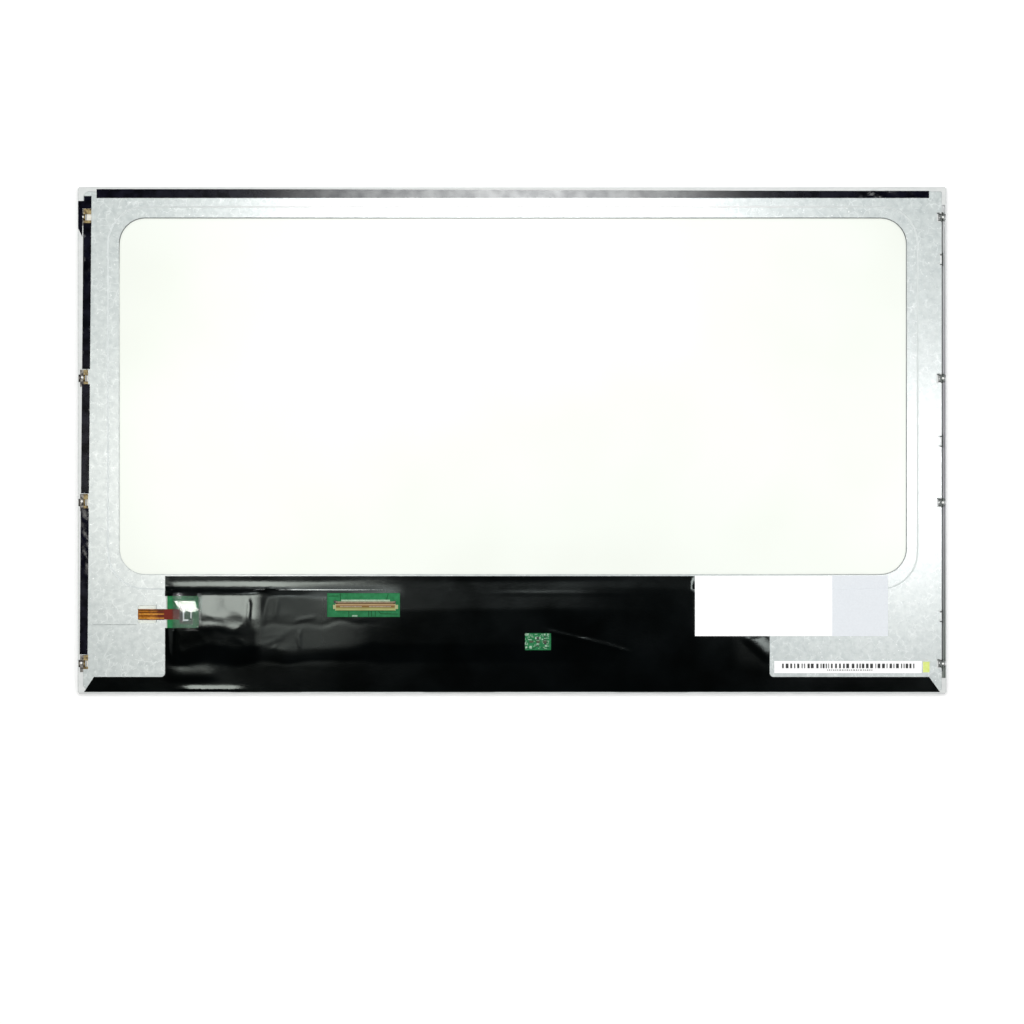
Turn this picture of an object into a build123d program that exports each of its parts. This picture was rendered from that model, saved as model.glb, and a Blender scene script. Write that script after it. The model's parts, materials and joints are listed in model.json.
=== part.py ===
from build123d import *
import math
import os

# A laptop screen panel lying on its face, back upwards, in millimetres.
# X runs along the long side, Y up the picture's height and Z from the face to the back.
# The origin is in the middle of the outline, on the surface that the face rests on.

# Outline and folded bezel
panel_width = 359.3
panel_height = 209.5
rim_side = 5.9
rim_top = 4.75
rim_bottom = 7.95
bezel_sheet = 0.3
bezel_setback = 0.2
bezel_bend = 0.25
bezel_gap = 0.05
corner_relief = 0.5

# Liquid crystal cell
polariser_thickness = 0.2
polariser_lap = 0.55
glass_thickness = 0.5
glass_margin = 0.9
glass_ledge = 3.6
cell_gap = 0.2

# Mould frame and the latches that hold the bezel on it
shelf_thickness = 0.4
shelf_inset = 1.05
frame_corner = 0.2
shading_tape_thickness = 0.1
latch_count = 6
latch_edge = 29.65
latch_width = 8.0
latch_height = 0.9
latch_rise = 0.25
latch_level = 1.6
latch_gap = 0.15

# Backlight
diffuser_thickness = 0.125
prism_thickness = 0.15
guide_thickness = 0.8
reflector_thickness = 0.2
sheet_lap = 1.4
sheet_gap = 0.3
ear_width = 10.0
ear_length = 1.6
sheet_ear_edge = 59.65
guide_ear_edge = 29.65
led_length = 3.0
led_depth = 1.1
led_pitch = 5.2
led_gap = 0.1
led_margin = 0.7
strip_end_gap = 0.3
flex_thickness = 0.12
flex_lap = 1.6
flex_gap = 0.2
reflector_gap = 0.2

# Backlight tail, from the light bar to its connector on the board
tail_width = 4.3
tail_from_bottom = 32.85
tail_drop = 2.0
tail_rise = 3.4
tail_rise_start = 1.1
tail_bend = 0.6
tail_insertion = 3.0
tail_relief = 0.9

# Back plate, its window and the pressed step round the window
plate_thickness = 0.3
plate_left_margin = 2.35
plate_right_margin = 2.05
plate_top_margin = 1.85
plate_bottom_margin = 1.55
plate_corner = 2.5
plate_right_corner = 0.6
plate_gap = 0.1
window_left_margin = 16.95
window_right_margin = 16.35
window_top_margin = 12.55
window_bottom_margin = 49.1
window_corner = 11.0
emboss_land = 4.4
emboss_bottom_land = 5.75
emboss_corner = 15.3
emboss_depth = 0.35
emboss_slope = 0.7
notch_corner = 2.0
notch_gap = 0.4
cutout_left_margin = 24.95
cutout_width = 7.5
cutout_height = 7.4
cutout_corner = 0.8
channel_left_margin = 5.95
channel_height = 8.35
channel_rise = 0.12
hook_rows = (75.0, -0.3, -72.6)
hook_width = 3.3
hook_depth = 1.35
hook_relief = 0.6
hook_relief_depth = 1.3
hook_gap = 0.15

# Side screws, their inserts and the right side rail
screw_edge = 12.45
screw_inner = 25.7
screw_level = 2.6
screw_clearance_radius = 1.25
thread_radius = 0.8
barrel_radius = 1.5
insert_gap = 0.05
barrel_end_gap = 0.15
left_barrel_length = 2.7
right_barrel_length = 2.5
clip_width = 7.0
clip_left_margin = 1.05
clip_length = 4.5
clip_base = 1.0
clip_slot = 2.6
clip_thickness = 0.4
clip_window_gap = 0.2
rail_thickness = 0.4
rail_top_margin = 7.45
rail_bottom_margin = 6.55
rail_floor_level = 3.0
rail_wall_level = 1.0
rail_gap = 0.05
nut_notch_width = 4.0
nut_notch_depth = 2.0

# Control board and the films that join it to the glass
board_tape_inset = 2.0
board_thickness = 0.4
board_depth = 26.4
board_left_margin = 37.05
board_right_margin = 105.65
board_from_bottom = 42.45
board_corner = 0.8
driver_film_count = 3
driver_film_width = 28.0
driver_film_thickness = 0.08
driver_film_gap = 0.02
driver_film_first = 40.6
driver_film_last = 16.0
driver_film_bond = 2.0
driver_film_clearance = 0.5
driver_film_bend = 0.4
driver_slot_gap = 0.75
driver_slot_depth = 1.0
driver_slot_wall = 0.3
driver_chip_length = 18.0
driver_chip_width = 1.3
driver_chip_height = 0.4
driver_chip_setback = 4.5

# Signal connector, placed from the board's left and top edges
signal_from_left = 82.0
signal_from_top = 3.7
signal_pins = 40
signal_pitch = 0.5
pin_width = 0.2
pin_stock = 0.12
pin_foot = 0.6
pin_level = 0.5
pin_reach = 3.0
pin_slot_gap = 0.05
housing_wall = 1.3
housing_depth = 3.7
housing_height = 0.95
mouth_margin = 1.25
mouth_depth = 2.4
mouth_floor = 0.2
mouth_height = 0.55
tongue_depth = 1.9
tongue_thickness = 0.18
shell_stock = 0.12
shell_depth = 3.3
shell_foot = 1.0
shell_foot_depth = 1.7
shell_foot_setback = 0.6
shell_slot_length = 9.0
shell_slot_width = 0.5
shell_slot_spacing = 12.0

# Tail connector and its lock
tail_connector_from_left = 5.1
tail_connector_depth = 5.5
tail_connector_width = 8.2
tail_connector_height = 0.65
tail_slot_gap = 0.1
lock_depth = 1.5
lock_inset = 0.7
lock_gap = 0.03

# Chips and small pieces, placed from the board's left and top edges
chip_height = 0.62
timing_chip_size = 9.0
timing_chip_place = (118.0, 14.0)
power_chip_size = 4.5
power_chip_places = ((25.0, 17.0), (101.0, 16.0), (152.0, 11.0))
inductor_size = 4.0
inductor_chamfer = 0.5
inductor_places = ((34.0, 16.5), (92.0, 16.5))
capacitor_length = 1.6
capacitor_width = 0.8
capacitor_height = 0.6
capacitor_step = 2.8
capacitor_rows = ((50.0, 12.0, 5), (50.0, 20.0, 6), (112.0, 21.5, 5), (132.0, 12.0, 4), (150.6, 20.9, 3))

# Cover film, and the clear film over its open end
film_thickness = 0.05
film_left_lap = 0.9
film_right_margin = 73.15
film_window_setback = 0.45
film_bottom_margin = 0.72
film_corner = 1.7
band_height = 6.25
band_left_margin = 2.65
band_right_margin = 2.75
band_mitre_left = 4.1
band_mitre_right = 4.5
bulge_left_inset = 1.5
bulge_right_inset = 16.0
bulge_top_inset = 1.3
bulge_bottom_lap = 1.8
bulge_slope = 3.0
bulge_gap = 0.05
signal_window_left = 2.45
signal_window_right = 0.85
signal_window_bottom = 2.7
signal_window_top = 2.9
test_window_width = 10.8
test_window_height = 7.1
test_window_place = (153.3, 20.85)
end_window_length = 14.0
end_window_height = 13.2
end_window_lift = 0.95
clear_film_gap = 0.3
clear_film_lap = 1.2

# Tapes and labels
tape_thickness = 0.05
tape_width = 3.3
tape_tilt = 0.5
left_tape_offset = 3.25
tape_break = 3.8
corner_tape_outer = 0.25
corner_tape_strip = 1.95
corner_tape_shoulder = 2.65
corner_tape_inner = 5.75
corner_tape_top = 3.7
corner_tape_step = 5.75
corner_tape_nut = 8.85
corner_tape_end = 16.95
corner_tape_tip = 20.65
top_tape_left_margin = 7.85
top_tape_right_margin = 7.25
top_tape_margin = 0.85
top_tape_width = 3.7
label_thickness = 0.1
rating_label_lap = 30.9
rating_label_length = 79.8
rating_label_height = 24.95
rating_label_setback = 0.3
bar_label_gap = 1.9
bar_label_length = 61.0
bar_label_height = 5.0
bar_label_from_bottom = 8.55
mark_gap = 0.5
mark_width = 2.7
mark_inset = 0.3
mark_thickness = 0.03

# Edges of the outline
left = -panel_width / 2
right = panel_width / 2
bottom = -panel_height / 2
top = panel_height / 2

# Levels of the layers, from the face to the back
z_polariser = bezel_sheet
z_filter_glass = z_polariser + polariser_thickness
z_array_glass = z_filter_glass + glass_thickness
z_rear_polariser = z_array_glass + glass_thickness
z_shading_tape = z_rear_polariser + polariser_thickness
z_shelf = z_shading_tape + shading_tape_thickness
z_upper_diffuser = z_shelf + shelf_thickness
z_upper_prism = z_upper_diffuser + diffuser_thickness
z_lower_prism = z_upper_prism + prism_thickness
z_lower_diffuser = z_lower_prism + prism_thickness
z_guide = z_lower_diffuser + diffuser_thickness
z_reflector = z_guide + guide_thickness
z_plate_low = z_reflector + reflector_thickness
z_plate_high = z_plate_low + emboss_depth
z_back = z_plate_high + plate_thickness
z_board_top = z_back - driver_film_gap - driver_film_thickness
z_board = z_board_top - board_thickness
bezel_depth = z_back - bezel_setback


def grown(edges, margin):
    """A rectangle's left, right, bottom and top edges moved outwards by a margin."""
    return edges[0] - margin, edges[1] + margin, edges[2] - margin, edges[3] + margin


# Outlines, each as its left, right, bottom and top edges
frame_edges = grown((left, right, bottom, top), -bezel_sheet - bezel_gap)
view_edges = (left + rim_side, right - rim_side, bottom + rim_bottom, top - rim_top)
polariser_edges = grown(view_edges, polariser_lap)
filter_edges = grown(polariser_edges, glass_margin)
array_edges = (filter_edges[0], filter_edges[1], filter_edges[2] - glass_ledge, filter_edges[3])
shelf_edges = grown(view_edges, -shelf_inset)
guide_edges = grown(shelf_edges, sheet_lap)
led_face = guide_edges[0] - led_gap
strip_edges = (
    led_face - led_depth - led_margin,
    guide_edges[0] + flex_lap,
    guide_edges[2] + strip_end_gap,
    guide_edges[3] - strip_end_gap,
)
light_pocket_edges = (
    strip_edges[0] - flex_gap,
    guide_edges[1] + sheet_gap,
    guide_edges[2] - sheet_gap,
    guide_edges[3] + sheet_gap,
)
plate_edges = (
    left + plate_left_margin,
    right - plate_right_margin,
    bottom + plate_bottom_margin,
    top - plate_top_margin,
)
window_edges = (
    left + window_left_margin,
    right - window_right_margin,
    bottom + window_bottom_margin,
    top - window_top_margin,
)
emboss_edges = (
    window_edges[0] - emboss_land,
    window_edges[1] + emboss_land,
    window_edges[2] - emboss_bottom_land,
    window_edges[3] + emboss_land,
)
board_left = left + board_left_margin
board_right = right - board_right_margin
board_top = bottom + board_from_bottom
board_bottom = board_top - board_depth
board_edges = (board_left, board_right, board_bottom, board_top)

# Rows and places that several pieces share
screw_rows = (top - screw_edge, screw_inner, -screw_inner, bottom + screw_edge)
latch_pitch = (panel_width - 2 * latch_edge) / (latch_count - 1)
latch_columns = [left + latch_edge + i * latch_pitch for i in range(latch_count)]
tail_y = bottom + tail_from_bottom
tail_edges = (tail_y - tail_width / 2, tail_y + tail_width / 2)
cutout_left = left + cutout_left_margin
tail_connector_left = board_left + tail_connector_from_left
clip_left = left + clip_left_margin
clip_right = clip_left + clip_length
rail_outer = frame_edges[1]
rail_wall_inner = rail_outer - rail_thickness
rail_inner = plate_edges[1] + plate_gap + rail_gap
rail_bottom = bottom + rail_bottom_margin
rail_top = top - rail_top_margin
driver_first_x = board_left + driver_film_first
driver_pitch = (board_right - driver_film_last - driver_first_x) / (driver_film_count - 1)
driver_columns = [driver_first_x + i * driver_pitch for i in range(driver_film_count)]
driver_fold_y = frame_edges[2] + driver_film_clearance
pin_span = (signal_pins - 1) * signal_pitch
mouth_half = pin_span / 2 + mouth_margin
housing_half = mouth_half + housing_wall
signal_x = board_left + signal_from_left
signal_back = board_top - signal_from_top
housing_back = signal_back - pin_foot
housing_front = housing_back - housing_depth
z_pin = z_board_top + pin_level
film_left = board_left - film_left_lap
film_right = right - film_right_margin
film_top = window_edges[2] - film_window_setback
film_bottom = bottom + film_bottom_margin


def slab(edges, z_from, z_to, corner=0.0, mode=Mode.ADD):
    """A flat rectangular layer between two levels, in the part being built."""
    middle = ((edges[0] + edges[1]) / 2, (edges[2] + edges[3]) / 2, z_from)
    with BuildSketch(Plane(middle)) as outline:
        Rectangle(edges[1] - edges[0], edges[3] - edges[2])
        if corner > 0:
            fillet(outline.vertices(), corner)
    extrude(outline.sketch, amount=z_to - z_from, mode=mode)


def sheet(edges, z, thickness, ears=()):
    """A flat sheet at a level, with any locating ears along its edges."""
    with BuildPart() as piece:
        slab(edges, z, z + thickness)
        for tab in ears:
            slab(tab, z, z + thickness)
    return piece


def ear(x, side):
    """The edges of a locating ear above (1) or below (-1) the light guide's outline."""
    root = guide_edges[3] if side > 0 else guide_edges[2]
    tip = root + side * ear_length
    return x - ear_width / 2, x + ear_width / 2, min(root, tip), max(root, tip)


sheet_ears = [ear(left + sheet_ear_edge, 1), ear(right - sheet_ear_edge, 1)]
guide_ears = [ear(right - guide_ear_edge, 1), ear(right - guide_ear_edge, -1)]


def rods(x_from, x_to, radius, mode=Mode.ADD):
    """Round rods along X at every side screw."""
    with BuildSketch(Plane.YZ.offset(x_from)) as ends:
        with Locations(*[(y, screw_level) for y in screw_rows]):
            Circle(radius)
    extrude(ends.sketch, amount=x_to - x_from, mode=mode)


def at_rows(x_from, x_to, width, z_from, z_to, mode):
    """A block at every side screw, centred on its row."""
    for y in screw_rows:
        slab((x_from, x_to, y - width / 2, y + width / 2), z_from, z_to, mode=mode)


# Front bezel: a folded frame with notched corners, latch windows and screw holes
with BuildPart() as front_bezel:
    slab((left, right, bottom, top), 0, bezel_depth)
    slab(grown((left, right, bottom, top), -bezel_sheet), bezel_sheet, bezel_depth, mode=Mode.SUBTRACT)
    slab(view_edges, 0, bezel_sheet, mode=Mode.SUBTRACT)
    fillet(front_bezel.faces().sort_by(Axis.Z)[0].outer_wire().edges(), bezel_bend)
    with BuildSketch(Plane.XY):
        with GridLocations(panel_width, panel_height, 2, 2):
            Rectangle(2 * corner_relief, 2 * corner_relief)
    extrude(amount=bezel_depth, mode=Mode.SUBTRACT)
    rods(left, right, screw_clearance_radius, mode=Mode.SUBTRACT)
    for x in latch_columns:
        window = (x - latch_width / 2 - latch_gap, x + latch_width / 2 + latch_gap, 0, top)
        slab(window, latch_level - latch_gap, latch_level + latch_height + latch_gap, mode=Mode.SUBTRACT)
    for x in (latch_columns[0], latch_columns[-1]):
        window = (x - latch_width / 2 - latch_gap, x + latch_width / 2 + latch_gap, bottom, 0)
        slab(window, latch_level - latch_gap, latch_level + latch_height + latch_gap, mode=Mode.SUBTRACT)

# Liquid crystal cell: two glasses between two polarisers
front_polariser = sheet(polariser_edges, z_polariser, polariser_thickness)
colour_filter_glass = sheet(filter_edges, z_filter_glass, glass_thickness)
array_glass = sheet(array_edges, z_array_glass, glass_thickness)
rear_polariser = sheet(polariser_edges, z_rear_polariser, polariser_thickness)

# Shading tape between the cell and the shelf of the mould frame
with BuildPart() as shading_tape:
    slab(polariser_edges, z_shading_tape, z_shelf)
    slab(shelf_edges, z_shading_tape, z_shelf, mode=Mode.SUBTRACT)


def latch_lug(x, side):
    """A wedge on a long wall of the mould frame that snaps into a window of the bezel."""
    face = frame_edges[3] if side > 0 else frame_edges[2]
    catch = latch_level + latch_height
    with BuildSketch(Plane.YZ.offset(x - latch_width / 2)) as wedge:
        with BuildLine():
            Polyline((face, latch_level), (face, catch), (face + side * latch_rise, catch), close=True)
        make_face()
    extrude(wedge.sketch, amount=latch_width)


def plate_blank(margin, mode):
    """The back plate's flat blank grown by a margin, with rounder corners on its left than on its right."""
    edges = grown(plate_edges, margin)
    slab(edges, z_plate_high, z_back, plate_corner + margin, mode)
    slab((0, *edges[1:]), z_plate_high, z_back, plate_right_corner + margin, mode)


# Mould frame: cell pocket in front, shelf, backlight pocket and plate seat behind
with BuildPart() as mould_frame:
    slab(frame_edges, bezel_sheet, z_back, corner=frame_corner)
    slab(grown(array_edges, cell_gap), bezel_sheet, z_shelf, mode=Mode.SUBTRACT)
    slab(shelf_edges, z_shelf, z_upper_diffuser, mode=Mode.SUBTRACT)
    slab(light_pocket_edges, z_upper_diffuser, z_back, mode=Mode.SUBTRACT)
    for notch in sheet_ears + guide_ears:
        slab(grown(notch, sheet_gap), z_upper_diffuser, z_back, mode=Mode.SUBTRACT)
    plate_blank(plate_gap, Mode.SUBTRACT)
    # Slots that let the driver films fold round the bottom wall
    for x in driver_columns:
        slot_left = x - driver_film_width / 2 - driver_slot_gap
        slot_right = x + driver_film_width / 2 + driver_slot_gap
        wall_outer = frame_edges[2]
        wall_inner = array_edges[2] - cell_gap
        fold = (slot_left, slot_right, wall_outer + driver_slot_wall, wall_outer + driver_slot_depth)
        slab(fold, bezel_sheet, z_back, mode=Mode.SUBTRACT)
        slab((slot_left, slot_right, wall_outer, wall_inner), bezel_sheet, z_shelf, mode=Mode.SUBTRACT)
        over = (slot_left, slot_right, wall_outer, plate_edges[2])
        slab(over, z_plate_high, z_back, mode=Mode.SUBTRACT)
    # Seats of the left inserts
    barrel_width = 2 * (barrel_radius + insert_gap)
    barrel_floor = screw_level - barrel_radius - insert_gap
    left_barrel_end = left + bezel_sheet + left_barrel_length
    left_seat = (frame_edges[0], left_barrel_end + barrel_end_gap)
    at_rows(*left_seat, barrel_width, barrel_floor, z_back, Mode.SUBTRACT)
    clip_seat = (clip_left - insert_gap, light_pocket_edges[0])
    at_rows(*clip_seat, clip_width + 2 * insert_gap, z_plate_low, z_back, Mode.SUBTRACT)
    # Seats of the right inserts, the rail and the plate's hooks
    right_barrel_end = rail_wall_inner - right_barrel_length
    right_seat = (right_barrel_end - barrel_end_gap, rail_outer)
    at_rows(*right_seat, barrel_width, barrel_floor, z_back, Mode.SUBTRACT)
    rail_ends = (rail_bottom - rail_gap, rail_top + rail_gap)
    slab((rail_wall_inner - rail_gap, rail_outer, *rail_ends), rail_wall_level, z_back, mode=Mode.SUBTRACT)
    slab((rail_inner - rail_gap, rail_outer, *rail_ends), rail_floor_level, z_back, mode=Mode.SUBTRACT)
    for y in hook_rows:
        hook_half = hook_width / 2 + hook_gap
        hook_seat = (plate_edges[1] - plate_thickness - hook_gap, rail_inner, y - hook_half, y + hook_half)
        slab(hook_seat, z_back - hook_depth - hook_gap, z_back, mode=Mode.SUBTRACT)
    for x in latch_columns:
        latch_lug(x, 1)
    for x in (latch_columns[0], latch_columns[-1]):
        latch_lug(x, -1)

# Optical sheets, light guide and reflector
upper_diffuser = sheet(guide_edges, z_upper_diffuser, diffuser_thickness, sheet_ears)
upper_prism_sheet = sheet(guide_edges, z_upper_prism, prism_thickness, sheet_ears)
lower_prism_sheet = sheet(guide_edges, z_lower_prism, prism_thickness, sheet_ears)
lower_diffuser = sheet(guide_edges, z_lower_diffuser, diffuser_thickness, sheet_ears)
light_guide = sheet(guide_edges, z_guide, guide_thickness, guide_ears)

with BuildPart() as reflector_sheet:
    reflector_left = strip_edges[1] + reflector_gap
    slab((reflector_left, *guide_edges[1:]), z_reflector, z_plate_low)
    tail_notch = (
        reflector_left,
        strip_edges[1] + tail_drop + tail_relief,
        tail_edges[0] - tail_relief,
        tail_edges[1] + tail_relief,
    )
    slab(tail_notch, z_reflector, z_plate_low, mode=Mode.SUBTRACT)

# Light bar: a row of diodes against the light guide's left edge, on a flexible strip
with BuildPart() as light_bar_leds:
    led_row = (guide_edges[2] + guide_edges[3]) / 2
    led_count = int((strip_edges[3] - strip_edges[2]) // led_pitch)
    with BuildSketch(Plane((led_face - led_depth / 2, led_row, z_guide))):
        with GridLocations(led_pitch, led_pitch, 1, led_count):
            Rectangle(led_depth, led_length)
    extrude(amount=guide_thickness)

with BuildPart() as light_bar_flex:
    slab(strip_edges, z_reflector, z_reflector + flex_thickness)
    rise_start = cutout_left + tail_rise_start
    tail_run = (
        (strip_edges[1] - flex_lap / 2, z_reflector),
        (strip_edges[1], z_reflector),
        (strip_edges[1] + tail_drop, z_plate_low),
        (rise_start, z_plate_low),
        (rise_start + tail_rise, z_back),
        (tail_connector_left + tail_insertion, z_back),
    )
    with BuildSketch(Plane.XZ.offset(-tail_edges[1])):
        with BuildLine():
            lower = FilletPolyline(*tail_run, radius=tail_bend)
            upper = FilletPolyline(*[(x, z + flex_thickness) for x, z in tail_run], radius=tail_bend)
            Line(lower @ 0, upper @ 0)
            Line(lower @ 1, upper @ 1)
        make_face()
    extrude(amount=tail_width)


def emboss(z, mode):
    """The pressed recess round the window: a shallow frustum with rounded corners."""
    width = emboss_edges[1] - emboss_edges[0]
    height = emboss_edges[3] - emboss_edges[2]
    x = (emboss_edges[0] + emboss_edges[1]) / 2
    y = (emboss_edges[2] + emboss_edges[3]) / 2
    half = emboss_slope / 2
    with BuildSketch(Plane((x, y, z))) as floor:
        RectangleRounded(width - emboss_slope, height - emboss_slope, emboss_corner - half)
    with BuildSketch(Plane((x, y, z + emboss_depth))) as brim:
        RectangleRounded(width + emboss_slope, height + emboss_slope, emboss_corner + half)
    loft([floor.sketch.face(), brim.sketch.face()], ruled=True, mode=mode)


# Back plate: pressed sheet with the window, the board's notch, cut-outs and hooks
with BuildPart() as back_plate:
    plate_blank(0, Mode.ADD)
    emboss(z_plate_low, Mode.ADD)
    emboss(z_plate_low + plate_thickness, Mode.SUBTRACT)
    slab(window_edges, z_plate_low, z_back, window_corner, Mode.SUBTRACT)
    # Raised channel over the backlight tail
    channel = (
        left + channel_left_margin,
        cutout_left + cutout_width / 2,
        tail_y - channel_height / 2,
        tail_y + channel_height / 2,
    )
    slab(channel, z_plate_high, z_back + channel_rise)
    slab(grown(channel, -plate_thickness), z_plate_high, z_plate_high + channel_rise, mode=Mode.SUBTRACT)
    cutout = (
        cutout_left,
        cutout_left + cutout_width,
        tail_y - cutout_height / 2,
        tail_y + cutout_height / 2,
    )
    slab(cutout, z_plate_low, z_back + channel_rise, cutout_corner, Mode.SUBTRACT)
    past_cutout = (cutout[1], cutout[1] + channel_height, channel[2], channel[3])
    slab(past_cutout, z_back, z_back + channel_rise, mode=Mode.SUBTRACT)
    # Notch for the board, open at the bottom edge
    notch_floor = bottom - notch_corner
    notch = (board_left - notch_gap, board_right + notch_gap, notch_floor, board_top + notch_gap)
    slab(notch, z_plate_low, z_back, notch_corner, Mode.SUBTRACT)
    # Openings that show the side inserts
    clip_window_right = clip_right + clip_window_gap
    clip_window_width = clip_width + 2 * clip_window_gap
    at_rows(plate_edges[0], clip_window_right, clip_window_width, z_plate_low, z_back, Mode.SUBTRACT)
    nut_notch_left = plate_edges[1] - nut_notch_depth
    at_rows(nut_notch_left, plate_edges[1], nut_notch_width, z_plate_low, z_back, Mode.SUBTRACT)
    # Hooks bent down along the right edge, each between two relief slits
    for y in hook_rows:
        hook = (plate_edges[1] - plate_thickness, plate_edges[1], y - hook_width / 2, y + hook_width / 2)
        slab(hook, z_back - hook_depth, z_back)
        slit_left = plate_edges[1] - hook_relief_depth
        for slit_bottom in (hook[2] - hook_relief, hook[3]):
            slit = (slit_left, plate_edges[1], slit_bottom, slit_bottom + hook_relief)
            slab(slit, z_plate_high, z_back, mode=Mode.SUBTRACT)
    right_edges = back_plate.edges().filter_by(Axis.Y).group_by(Axis.X)[-1].group_by(Axis.Z)[-1]
    bends = [edge for edge in right_edges if abs(edge.length - hook_width) < hook_relief / 2]
    fillet(bends, plate_thickness)

# Inserts for the side screws: forked clips with barrels on the left, plain nuts on the right
with BuildPart() as left_screw_inserts:
    at_rows(clip_left, clip_right, clip_width, z_plate_low, z_plate_low + clip_thickness, Mode.ADD)
    at_rows(clip_left + clip_base, clip_right, clip_slot, z_plate_low, z_back, Mode.SUBTRACT)
    rods(left + bezel_sheet, left_barrel_end, barrel_radius)
    rods(left + bezel_sheet, left_barrel_end, thread_radius, mode=Mode.SUBTRACT)

with BuildPart() as right_screw_inserts:
    rods(right_barrel_end, rail_wall_inner, barrel_radius)
    rods(right_barrel_end, rail_wall_inner, thread_radius, mode=Mode.SUBTRACT)

# Right side rail: an angle strip that holds the right inserts in their seats
with BuildPart() as right_side_rail:
    floor_top = rail_floor_level + rail_thickness
    slab((rail_wall_inner, rail_outer, rail_bottom, rail_top), rail_wall_level, z_back)
    slab((rail_inner, rail_wall_inner, rail_bottom, rail_top), rail_floor_level, floor_top)
    at_rows(rail_inner, rail_wall_inner, barrel_width, rail_floor_level, floor_top, Mode.SUBTRACT)
    screw_notch = (2 * screw_clearance_radius, screw_level - screw_clearance_radius, z_back)
    at_rows(rail_wall_inner, rail_outer, *screw_notch, Mode.SUBTRACT)

# Control board on its tape
board_tape = sheet(grown(board_edges, -board_tape_inset), z_plate_low, z_board - z_plate_low)

with BuildPart() as control_board:
    slab(board_edges, z_board, z_board_top, corner=board_corner)

# Driver films: bonded under the glass ledge, folded round the bottom, bonded on the board
with BuildPart() as source_driver_films:
    glass_end = array_edges[2] + driver_film_bond
    board_end = board_bottom + driver_film_bond
    stock = driver_film_thickness
    for x in driver_columns:
        with BuildSketch(Plane.YZ.offset(x - driver_film_width / 2)):
            with BuildLine():
                inner = FilletPolyline(
                    (glass_end, z_array_glass),
                    (driver_fold_y, z_array_glass),
                    (driver_fold_y, z_board_top),
                    (board_end, z_board_top),
                    radius=driver_film_bend,
                )
                outer = FilletPolyline(
                    (glass_end, z_array_glass - stock),
                    (driver_fold_y - stock, z_array_glass - stock),
                    (driver_fold_y - stock, z_board_top + stock),
                    (board_end, z_board_top + stock),
                    radius=driver_film_bend + stock,
                )
                Line(inner @ 0, outer @ 0)
                Line(inner @ 1, outer @ 1)
            make_face()
        extrude(amount=driver_film_width)

with BuildPart() as driver_chips:
    chips_x = (driver_columns[0] + driver_columns[-1]) / 2
    chips_y = board_bottom - driver_chip_setback
    with BuildSketch(Plane((chips_x, chips_y, z_board_top - driver_chip_height))):
        with GridLocations(driver_pitch, driver_pitch, driver_film_count, 1):
            Rectangle(driver_chip_length, driver_chip_width)
    extrude(amount=driver_chip_height)

# Signal connector: contacts set in a housing, under a folded shell
with BuildPart() as signal_contacts:
    for i in range(signal_pins):
        pin_left = signal_x - pin_span / 2 + i * signal_pitch - pin_width / 2
        with BuildSketch(Plane.YZ.offset(pin_left)):
            with BuildLine():
                Polyline(
                    (signal_back, z_board_top),
                    (signal_back, z_board_top + pin_stock),
                    (housing_back, z_board_top + pin_stock),
                    (housing_back, z_pin + pin_stock),
                    (housing_back - pin_reach, z_pin + pin_stock),
                    (housing_back - pin_reach, z_pin),
                    (housing_back - pin_stock, z_pin),
                    (housing_back - pin_stock, z_board_top),
                    close=True,
                )
            make_face()
        extrude(amount=pin_width)

with BuildPart() as signal_housing:
    housing = (signal_x - housing_half, signal_x + housing_half, housing_front, housing_back)
    mouth_back = housing_front + mouth_depth
    mouth = (signal_x - mouth_half, signal_x + mouth_half)
    z_mouth = z_board_top + mouth_floor
    slab(housing, z_board_top, z_board_top + housing_height)
    slab((*mouth, housing_front, mouth_back), z_mouth, z_mouth + mouth_height, mode=Mode.SUBTRACT)
    slab((*mouth, mouth_back - tongue_depth, mouth_back), z_pin - tongue_thickness, z_pin)
    slot_half = (pin_span + pin_width) / 2 + pin_slot_gap
    slot = (signal_x - slot_half, signal_x + slot_half)
    slab((*slot, mouth_back, housing_back), z_pin, z_pin + pin_stock, mode=Mode.SUBTRACT)
    riser = (*slot, housing_back - pin_stock, housing_back)
    slab(riser, z_board_top, z_pin + pin_stock, mode=Mode.SUBTRACT)

with BuildPart() as signal_shell:
    z_shell = z_board_top + housing_height
    shell_back = housing_front + shell_depth
    cover = (housing[0] - shell_stock, housing[1] + shell_stock, housing_front, shell_back)
    slab(cover, z_board_top, z_shell + shell_stock)
    slab((housing[0], housing[1], housing_front, shell_back), z_board_top, z_shell, mode=Mode.SUBTRACT)
    foot_front = housing_front + shell_foot_setback
    foot_back = foot_front + shell_foot_depth
    slab((cover[0] - shell_foot, cover[0], foot_front, foot_back), z_board_top, z_board_top + shell_stock)
    slab((cover[1], cover[1] + shell_foot, foot_front, foot_back), z_board_top, z_board_top + shell_stock)
    with BuildSketch(Plane((signal_x, (housing_front + shell_back) / 2, z_shell))):
        with GridLocations(shell_slot_spacing, shell_slot_spacing, 2, 1):
            Rectangle(shell_slot_length, shell_slot_width)
    extrude(amount=shell_stock, mode=Mode.SUBTRACT)

# Tail connector: the flexible tail lies in its slot under the closed lock
z_tail_top = z_back + flex_thickness
tail_connector_right = tail_connector_left + tail_connector_depth
tail_connector_half = tail_connector_width / 2
lock_half = tail_connector_half - lock_inset

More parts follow.
